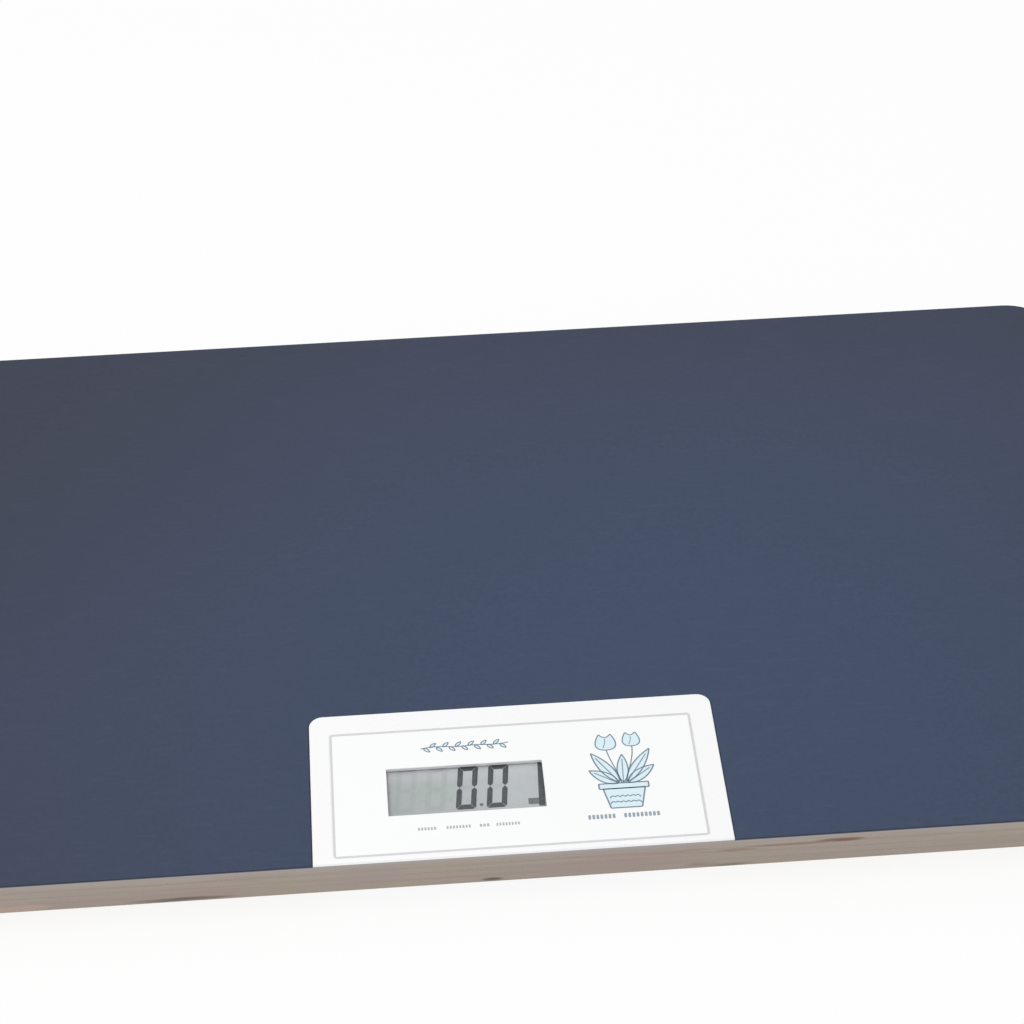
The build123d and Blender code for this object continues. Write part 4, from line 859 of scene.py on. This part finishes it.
def digit(bm, width, height, thick, gap, ink, place, bars):
    """Adds the named segments of one digit, with its middle at the place's origin."""
    x, y, half = width / 2, height / 2, thick / 2
    right, top = x + half, y + half
    cut = right - CORNER_CUT * thick
    for side, level, end in ((-1, "lower", "bottom"), (1, "upper", "top")):
        edge = side * top
        if end in bars:
            cuts = [((turn * right, edge), (turn, -side)) for turn in (-1, 1)]
            cuts += [((turn * cut, edge), (turn, side)) for turn in (-1, 1)]
            low, high = sorted((side * (y - half), edge))
            segment(bm, (-right, low), (right, high), cuts, gap, ink, place)
        for turn, hand in ((-1, "left"), (1, "right")):
            if f"{level}_{hand}" in bars:
                cuts = [((turn * right, edge), (-turn, side)), ((turn * cut, edge), (turn, side))]
                cuts += [((turn * x, 0), (away, -side)) for away in (1, -1)]
                low, high = sorted((0, edge))
                segment(bm, (turn * x - half, low), (turn * x + half, high), cuts, gap, ink, place)
    if "middle" in bars:
        cuts = [((turn * x, 0), (turn, side)) for turn in (-1, 1) for side in (-1, 1)]
        segment(bm, (-x, -half), (x, half), cuts, gap, ink, place)


class SCALE_OT_reading(Operator):
    """Draw the reading: two noughts, a faint point and the mark at the right"""

    bl_idname = "scale.reading"
    bl_label = "Reading"

    def execute(self, context):
        colours, sizes = context.scene.scale_colours, context.scene.scale_print
        z = CELL_HIGH.z - CELL_SINK
        lean = Matrix.Identity(4)
        lean[0][1] = math.tan(sizes.digit_lean)
        lean = lean @ Matrix.Diagonal((1, LEVEL_SHARE, 1, 1))
        shape = (sizes.digit_width, sizes.digit_height / LEVEL_SHARE, sizes.bar_width, sizes.bar_gap)
        lit, unlit, faint = bmesh.new(), bmesh.new(), bmesh.new()
        for n in range(-2, 2):
            place = on_plane(sizes.digit_x + n * sizes.digit_pitch, FRONT_Y + sizes.digit_y, z) @ lean
            if n < 0:
                digit(unlit, *shape, UNLIT, place, ALL_BARS)
            else:
                digit(lit, *shape, LIT, place, NOUGHT_BARS)
                digit(unlit, *shape, UNLIT, place, ("middle",))

        along = POST_TOP - POST_FOOT
        post = tab(POST_WIDTH * MM, along.length * MM, POST_CORNER * MM, 2)
        laid(lit, post, LIT, from_front(*(POST_FOOT + POST_TOP) / 2, z, -math.atan2(along.x, along.y)))
        foot = tab(*(size * MM for size in MARK_FOOT_SIZE), POST_CORNER * MM, 2)
        point = tab(POINT_SIZE * MM, POINT_SIZE * MM, POINT_CORNER * MM, 3)
        laid(faint, foot, FAINT, from_front(*MARK_FOOT, z))
        laid(faint, point, FAINT, from_front(*POINT, z))

        ink = inked("lit_segment", colours.reading_segment, 0.4)
        piece_from(lit, "reading_lit", ink)
        half = tuple(0.8 * a + 0.2 * b for a, b in zip(colours.reading_segment, colours.reading_ground))
        piece_from(faint, "reading_faint", inked("faint_segment", half, 0.4))
        ghost = inked("unlit_segment", colours.reading_ghost, 0.35, cover_share=0.035)
        piece_from(unlit, "reading_unlit", ghost)
        return {"FINISHED"}


# Electronics

TRACK_PITCH = 1.27 * MM


def circuit_finish():
    """Green laminate: solder mask over runs of tracks, bare pads and the weave below."""
    made = Finish("circuit_laminate", screen(38, 104, 66), 0.3)
    weave = made.noise(1300, detail=1)
    made.veil(weave, 0.25, screen(28, 84, 52))
    blocks = {"Vector": made.stretched(110, 110, 1), "Scale": 1.0}
    block = made.put("TexVoronoi", blocks, "Color", distance="CHEBYCHEV")
    tracks = 0.0
    for name, least in (("X", 0.5), ("Y", 0.45)):
        count = made.sum("FRACT", made.sum("DIVIDE", made.axis(name), TRACK_PITCH))
        here = made.sum("GREATER_THAN", made.put("SeparateXYZ", {0: block}, name), least)
        run = made.times(made.ramp(made.gap(count, 0.5), 0.16, 0.11), here)
        tracks = made.sum("MAXIMUM", run, tracks)
    made.tint(made.times(tracks, 0.55), screen(72, 148, 92))
    made.veil(made.specks(230, 230, 1), 0.9, screen(196, 190, 172), 0.09, 0.07)
    made.worn(weave, 0.04, 0.06)
    made.bump(tracks, 0.03)
    made.bump(weave, 0.008)
    return made


class SCALE_OT_electronics(Operator):
    """Finish the circuit board with its parts, plugs, switch and thin wires"""

    bl_idname = "scale.electronics"
    bl_label = "Electronics"

    def execute(self, context):
        dress(circuit_finish(), "circuit_board")
        dress(moulded("socket_nylon", screen(232, 229, 219), 0.5), "lead_sockets")
        dress(moulded("plug_nylon", screen(240, 240, 236), 0.48), "lead_plugs")
        chip = moulded("chip_black", screen(44, 44, 47), 0.55, grain=2400, depth=0.01, marks=0.2)
        dress(chip, "processor_chip", "converter_chip", "chip_resistors")
        dress(metal("crystal_can", screen(216, 216, 212), 0.24, (1600, 60, 1600)), "quartz_crystal")
        dress(moulded("capacitor_sleeve", screen(46, 48, 58), 0.3, depth=0.005), "capacitors")
        dress(metal("tap_brass", screen(214, 186, 120), 0.34, (300, 300, 300)), "tap_sensor")
        dress(jacket("thin_wire", screen(176, 44, 38)), "tap_wires", "battery_wires", "gauge_wires")
        dress(moulded("switch_case", screen(48, 48, 50), 0.5), "unit_switch")
        dress(moulded("plunger_plastic", screen(70, 70, 72), 0.4), "switch_plunger")
        return {"FINISHED"}


# Underside

ARROWS = 3
ARROW_START = 13 * MM
ARROW_PITCH = 5 * MM
ARROW_WIDTH = 11 * MM
ARROW_BAR = 1.4 * MM
ARROW_RISE = 4.2 * MM
MARK_PROUD = 0.25 * MM
MARK_HEIGHT = 0.3 * MM
RING_RADIUS = 5.4 * MM
RING_WIRE = 0.35 * MM


class SCALE_OT_covers(Operator):
    """Finish the rear cover, door, carriers, feet and button, and add the marks moulded on them"""

    bl_idname = "scale.covers"
    bl_label = "Covers and feet"

    def execute(self, context):
        colours = context.scene.scale_colours
        plastic = moulded("cover_plastic", colours.cover, 0.45, grain=1500, depth=0.03)
        dress(plastic, "rear_cover", "battery_door", "sensor_carrier", "foot")
        dress(rubber("pad_rubber", colours.pad), "foot_pad")
        dress(moulded("button_plastic", colours.button, 0.38), "unit_button")

        arrows = bmesh.new()
        for n in range(ARROWS):
            wing = flat(ARROW_WIDTH, ARROW_BAR, columns=2)
            tip = [corner for corner in wing.verts if abs(corner.co.x) < ARROW_BAR / 2]
            bmesh.ops.translate(wing, vec=(0, ARROW_RISE, 0), verts=tip)
            x, y = (DOOR_LOW.x + DOOR_HIGH.x) / 2, DOOR_LOW.y + ARROW_START + n * ARROW_PITCH
            laid(arrows, wing, MARK_HEIGHT, on_plane(x, y, COVER_UNDER - MARK_PROUD))
        grey = inked("arrow_grey", colours.mark)
        piece_from(arrows, "door_arrows", grey, "battery_door")

        ring = bmesh.new()
        middle = (BUTTON_LOW + BUTTON_HIGH) / 2
        upright = Matrix.Rotation(math.pi / 2, 4, "X")
        bmesh.ops.create_circle(
            ring, segments=12, radius=RING_WIRE,
            matrix=Matrix.Translation((middle.x + RING_RADIUS, middle.y, COVER_UNDER)) @ upright,
        )
        bmesh.ops.spin(
            ring, geom=ring.verts[:] + ring.edges[:], cent=(middle.x, middle.y, 0), axis=(0, 0, 1),
            angle=math.tau, steps=64, use_merge=True,
        )
        piece_from(ring, "button_ring", plastic)
        return {"FINISHED"}


BATTERY_COUNT = 4
BATTERY_DIAMETER = PACK_HIGH.z - PACK_LOW.z
BATTERY_NUB = 0.8 * MM
BARE_RIM = 1.1 * MM
JACKET_FILM = 0.08 * MM
JACKET_LENGTH = PACK_HIGH.y - PACK_LOW.y - BATTERY_NUB - 2 * BARE_RIM
BAND_LENGTH = 10 * MM
MAIN_LENGTH = JACKET_LENGTH - BAND_LENGTH
SIGN_SIZE = (2.6 * MM, 0.7 * MM)
SIGN_CORNER = 0.1 * MM
SIGN_PROUD = 0.14 * MM
SIGN_HEIGHT = 0.1 * MM
MINUS_PLACE = 5 * MM


def wrap(bm, x, y, z, length):
    """Adds a thin tube round a lying battery."""
    tube = bmesh.new()
    radius = BATTERY_DIAMETER / 2 + JACKET_FILM
    bmesh.ops.create_cone(tube, segments=48, radius1=radius, radius2=radius, depth=length)
    bmesh.ops.recalc_face_normals(tube, faces=tube.faces[:])
    bmesh.ops.solidify(tube, geom=tube.faces[:], thickness=JACKET_FILM)
    joined(bm, tube, Matrix.Translation((x, y, z)) @ Matrix.Rotation(math.pi / 2, 4, "X"))


class SCALE_OT_batteries(Operator):
    """Finish the batteries and contacts, and wrap each battery in its two-colour jacket"""

    bl_idname = "scale.batteries"
    bl_label = "Batteries"

    def execute(self, context):
        colours = context.scene.scale_colours
        dress(metal("battery_can", screen(206, 204, 198), 0.26, (900, 900, 900)), "batteries")
        dress(metal("contact_nickel", screen(212, 210, 202), 0.28, (1600, 60, 1600)), "battery_contacts")
        pitch = (PACK_HIGH.x - PACK_LOW.x - BATTERY_DIAMETER) / (BATTERY_COUNT - 1)
        middle = (PACK_LOW + PACK_HIGH) / 2
        main, bands, signs = bmesh.new(), bmesh.new(), bmesh.new()
        for n in range(BATTERY_COUNT):
            x = PACK_LOW.x + BATTERY_DIAMETER / 2 + n * pitch
            outward = -1 if n % 2 else 1
            start = middle.y - outward * (JACKET_LENGTH + BATTERY_NUB) / 2
            plus = start + outward * (JACKET_LENGTH - BAND_LENGTH / 2)
            wrap(main, x, start + outward * MAIN_LENGTH / 2, middle.z, MAIN_LENGTH)
            wrap(bands, x, plus, middle.z, BAND_LENGTH)
            minus = start + outward * MINUS_PLACE
            for y, turn in ((plus, 0), (plus, math.pi / 2), (minus, 0)):
                place = on_plane(x, y, PACK_LOW.z - SIGN_PROUD, turn)
                laid(signs, tab(*SIGN_SIZE, SIGN_CORNER), SIGN_HEIGHT, place)
        dark = moulded("battery_jacket", colours.jacket, 0.3, grain=900, depth=0.003, marks=0.05)
        piece_from(main, "battery_jackets", dark)
        gold = metal("jacket_band", colours.jacket_band, 0.3, (300, 900, 300))
        piece_from(bands, "battery_bands", gold)
        pale = inked("battery_signs", screen(235, 235, 230), 0.4)
        piece_from(signs, "battery_signs", pale)
        return {"FINISHED"}


class SCALE_OT_sensors(Operator):
    """Finish the load cells, gauges, leads, clips, nails and screws"""

    bl_idname = "scale.sensors"
    bl_label = "Sensors and leads"

    def execute(self, context):
        dress(metal("load_cell_steel", screen(206, 207, 210), 0.3, (70, 1500, 1500)), "load_cell")
        zinc = metal("zinc_steel", screen(172, 175, 173), 0.38, (700, 700, 700), screen(160, 164, 146))
        dress(zinc, "circuit_screws", "cover_screws", "carrier_screws", "load_cell_screws", "foot_screw")
        dress(zinc, "clip_nails")
        dress(rubber("gauge_sealant", screen(236, 235, 230), 0.5), "strain_gauges")
        dress(jacket("lead_jacket", screen(196, 197, 198)), "sensor_lead")
        dress(moulded("clip_nylon", screen(226, 226, 222), 0.46), "lead_clips")
        return {"FINISHED"}


# Stage

FLOOR_PAINT = (0.95, 0.95, 0.95, 1)
WHITE = (1, 1, 1, 1)
# The floor's own shading fades between these distances from the middle, in metres
SHADE_NEAR, SHADE_FAR = 0.7, 2.2
SENSOR_WIDTH = 36
SIGHT = 20


def white_behind(nodes, kept=1.0):
    """The kept share for what the camera, a reflection or a clear piece sees, and 0 for light."""
    rays = nodes.tree.nodes.new("ShaderNodeLightPath").outputs
    seen = nodes.sum("MAXIMUM", rays["Is Camera Ray"], rays["Is Glossy Ray"])
    return nodes.times(nodes.sum("MAXIMUM", seen, rays["Is Transmission Ray"]), kept)


def make_floor(stage):
    """A plain pale floor, lit a little from below, that keeps the object's shadow near it."""
    material = bpy.data.materials.new("floor_white")
    material.use_nodes = True
    nodes = Nodes(material.node_tree)
    nodes.tree.nodes.clear()
    glow = nodes.put("Emission")
    lit = nodes.mixed(stage.glow, nodes.put("BsdfDiffuse", {"Color": FLOOR_PAINT}), glow)
    place = nodes.put("TexCoord", output="Object")
    span = nodes.put("VectorMath", {0: place}, "Value", operation="LENGTH")
    kept = nodes.ramp(span, SHADE_NEAR, SHADE_FAR, 1 - stage.shade, 1.0, "LINEAR")
    seen = nodes.mixed(white_behind(nodes, kept), lit, glow)
    back = nodes.put("NewGeometry", output="Backfacing")
    one_sided = nodes.mixed(back, seen, nodes.put("BsdfTransparent"))
    nodes.put("OutputMaterial", {"Surface": one_sided})
    floor = shown("floor", mesh_from(flat(stage.floor_size, stage.floor_size), "floor"))
    floor.data.materials.append(material)


def make_light(stage):
    """An even white surround and one large soft lamp."""
    world = bpy.data.worlds.new("surround")
    world.use_nodes = True
    nodes = Nodes(world.node_tree)
    nodes.tree.nodes.clear()
    even = nodes.put("Background", {"Color": WHITE, "Strength": stage.sky})
    white = nodes.put("Background", {"Color": WHITE})
    seen = nodes.mixed(white_behind(nodes), even, white)
    nodes.put("OutputWorld", {"Surface": seen})
    bpy.context.scene.world = world
    lamp = bpy.data.lights.new("large_lamp", "AREA")
    lamp.energy = stage.lamp
    lamp.size = stage.lamp_size
    holder = shown("large_lamp", lamp)
    aim = (BOARD_LOW + BOARD_HIGH) / 2 - Vector(stage.lamp_place)
    turn = aim.to_track_quat("-Z", "Y").to_matrix().to_4x4()
    holder.matrix_world = Matrix.Translation(stage.lamp_place) @ turn


def make_camera(stage):
    """The camera that looks down on the display edge."""
    camera = bpy.data.cameras.new("camera")
    camera.lens = stage.lens
    camera.sensor_width = SENSOR_WIDTH
    camera.clip_end = SIGHT
    holder = shown("camera", camera)
    heading = Matrix.Rotation(-stage.azimuth, 4, "Z")
    tilt = Matrix.Rotation(math.pi / 2 - stage.elevation, 4, "X")
    lie = Matrix.Rotation(stage.roll, 4, "Z")
    holder.matrix_world = Matrix.Translation(stage.place) @ heading @ tilt @ lie
    bpy.context.scene.camera = holder


class SCALE_OT_stage(Operator):
    """Set the floor, the light and the camera"""

    bl_idname = "scale.stage"
    bl_label = "Stage"

    def execute(self, context):
        stage = context.scene.scale_stage
        make_floor(stage)
        make_light(stage)
        make_camera(stage)
        context.scene.view_settings.view_transform = "Standard"
        return {"FINISHED"}


OPERATORS = (
    SCALE_OT_board, SCALE_OT_display, SCALE_OT_label_print, SCALE_OT_reading, SCALE_OT_electronics,
    SCALE_OT_covers, SCALE_OT_batteries, SCALE_OT_sensors, SCALE_OT_stage,
)
GROUPS = {"scale_colours": ScaleColours, "scale_print": ScalePrint, "scale_stage": ScaleStage}


class SCALE_PT_panel(Panel):
    """Lists the settings and the steps that finish the scale"""

    bl_idname = "SCALE_PT_panel"
    bl_label = "Platform scale"
    bl_space_type = "VIEW_3D"
    bl_region_type = "UI"
    bl_category = "Scale"

    def draw(self, context):
        for group in GROUPS:
            settings = getattr(context.scene, group)
            for name in settings.__annotations__:
                self.layout.prop(settings, name)
        for step in OPERATORS:
            self.layout.operator(step.bl_idname)


def register():
    """Adds the settings, the steps and the panel to Blender."""
    for made in (*GROUPS.values(), *OPERATORS, SCALE_PT_panel):
        bpy.utils.register_class(made)
    for name, group in GROUPS.items():
        setattr(bpy.types.Scene, name, PointerProperty(type=group))


def unregister():
    """Takes them out again."""
    for name in GROUPS:
        delattr(bpy.types.Scene, name)
    for made in (SCALE_PT_panel, *OPERATORS[::-1], *GROUPS.values()):
        bpy.utils.unregister_class(made)


def main():
    """Runs every step in order."""
    register()
    for step in OPERATORS:
        group, name = step.bl_idname.split(".")
        getattr(getattr(bpy.ops, group), name)()
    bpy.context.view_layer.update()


if __name__ == "__main__":
    main()
